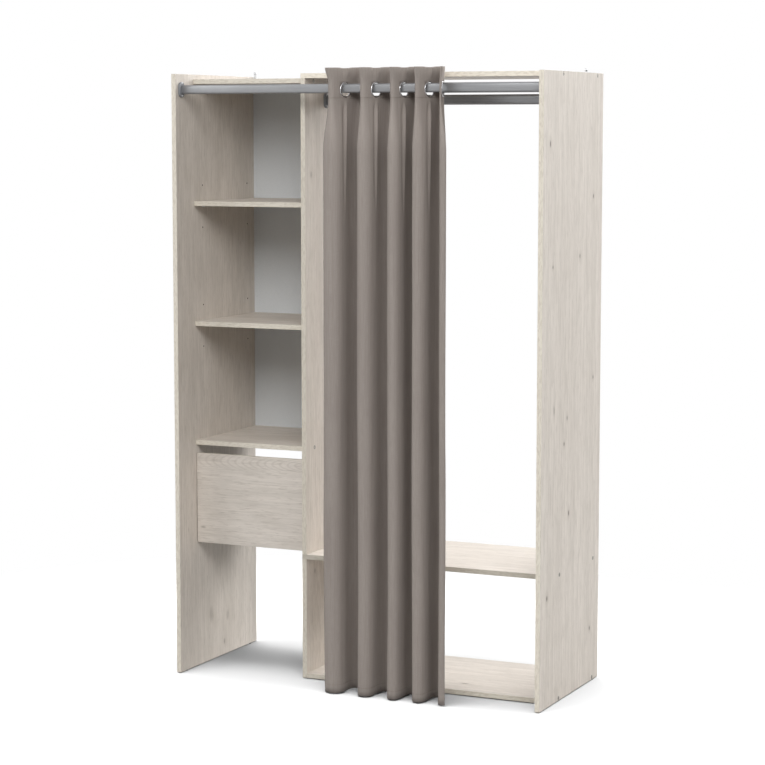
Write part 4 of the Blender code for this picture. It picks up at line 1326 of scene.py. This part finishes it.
floor = shownFloor()
bounceFloor()


# how bright the studio's soft walls and ceiling are, at these sines of the height above the horizon
skyLook = {
    "heights": (0.0, 0.34, 0.71, 1.0),
    "front": (0.04, 0.05, 0.12, 0.40),
    "right": (0.06, 0.26, 0.50, 0.40),
    "back": (0.06, 0.26, 0.50, 0.40),
    "left": (0.06, 0.24, 0.46, 0.40),
}


def skyLight():
    # the side walls and the ceiling blend into each other, and where the sky is seen it is white
    world = bpy.data.worlds.new("studio")
    bpy.context.scene.world = world
    world.use_nodes = True
    paint = Paint("sky", world)
    x, y, z = paint.split(paint.node("ShaderNodeTexCoord", {}, {}, 0))
    level = 1 - z * z + 0.001
    heights = skyLook["heights"]
    total = 0.0
    for side, way in (("front", y * -1), ("right", x * 1), ("back", y * 1), ("left", x * -1)):
        share = paint.math("MAXIMUM", way, 0.0)
        share = share * share / level
        glow = skyLook[side]
        profile = glow[0]
        for step in range(len(heights) - 1):
            values = {0: z, 1: heights[step], 2: heights[step + 1], 3: 0.0, 4: glow[step + 1] - glow[step]}
            profile = paint.node("ShaderNodeMapRange", {"interpolation_type": "LINEAR"}, values) + profile
        total = share * profile + total
    above = paint.ramp(z, -0.02, 0.02)
    # the rays that show the background get plain white
    shown = rayShare(paint, "Camera") + rayShare(paint, "Glossy")
    seen = paint.math("ADD", shown, rayShare(paint, "Transmission"), clamp=True)
    strength = total * above * (1 - seen) + seen
    background = paint.tree.nodes["Background"]
    paint.plug(background.inputs["Strength"], strength)
    background.inputs["Color"].default_value = (1, 1, 1, 1)


skyLight()


def litGroup(name, state):
    # a group for a lamp that lights the shown floor alone, or everything but it
    group = bpy.data.collections.new(name)
    group.objects.link(floor)
    group.collection_objects[0].light_linking.link_state = state
    return group


floorAlone = litGroup("floorAlone", "INCLUDE")
allButFloor = litGroup("allButFloor", "EXCLUDE")


def softBox(name, spot, aim, size, power, lights):
    light = bpy.data.lights.new(name, "AREA")
    light.shape = "RECTANGLE"
    light.size, light.size_y = size
    light.energy = power
    lamp = placed(name, light)
    lamp.location = spot
    lamp.rotation_euler = (Vector(aim) - Vector(spot)).to_track_quat("-Z", "Y").to_euler()
    lamp.light_linking.receiver_collection = lights


lampLook = {
    "size": (4.0, 3.0),
    "aim": (0, 0, 1.0),
    "lamps": {
        "rightFrontBox": ((4.2, -5.0, 4.6), 205.0),
        "rightBackBox": ((4.5, 3.5, 3.4), 134.0),
        "backBox": ((0.8, 5.5, 4.5), 350.0),
        "frontBox": ((0.0, -6.0, 5.0), 148.0),
        "leftBox": ((-5.0, -2.5, 3.6), 118.0),
    },
}
for name, (spot, power) in lampLook["lamps"].items():
    softBox(name, spot, lampLook["aim"], lampLook["size"], power, allButFloor)
softBox("floorBox", *roomLook["floorBox"], floorAlone)

photoWidth = 765  # in pixels
cameraLook = {"spot": (3.8782, -6.7260, 1.8485), "yaw": 0.4325, "pitch": -0.1095, "focalPixels": 2307.55}


def cameraPiece():
    data = bpy.data.cameras.new("camera")
    data.sensor_width = 36
    data.lens = cameraLook["focalPixels"] / photoWidth * data.sensor_width
    data.clip_start = 0.1
    data.clip_end = 200
    camera = placed("camera", data)
    camera.location = corner + Vector(cameraLook["spot"])
    camera.rotation_euler = (math.pi / 2 + cameraLook["pitch"], 0, cameraLook["yaw"])
    bpy.context.scene.camera = camera


cameraPiece()
bpy.context.scene.view_settings.view_transform = "Standard"
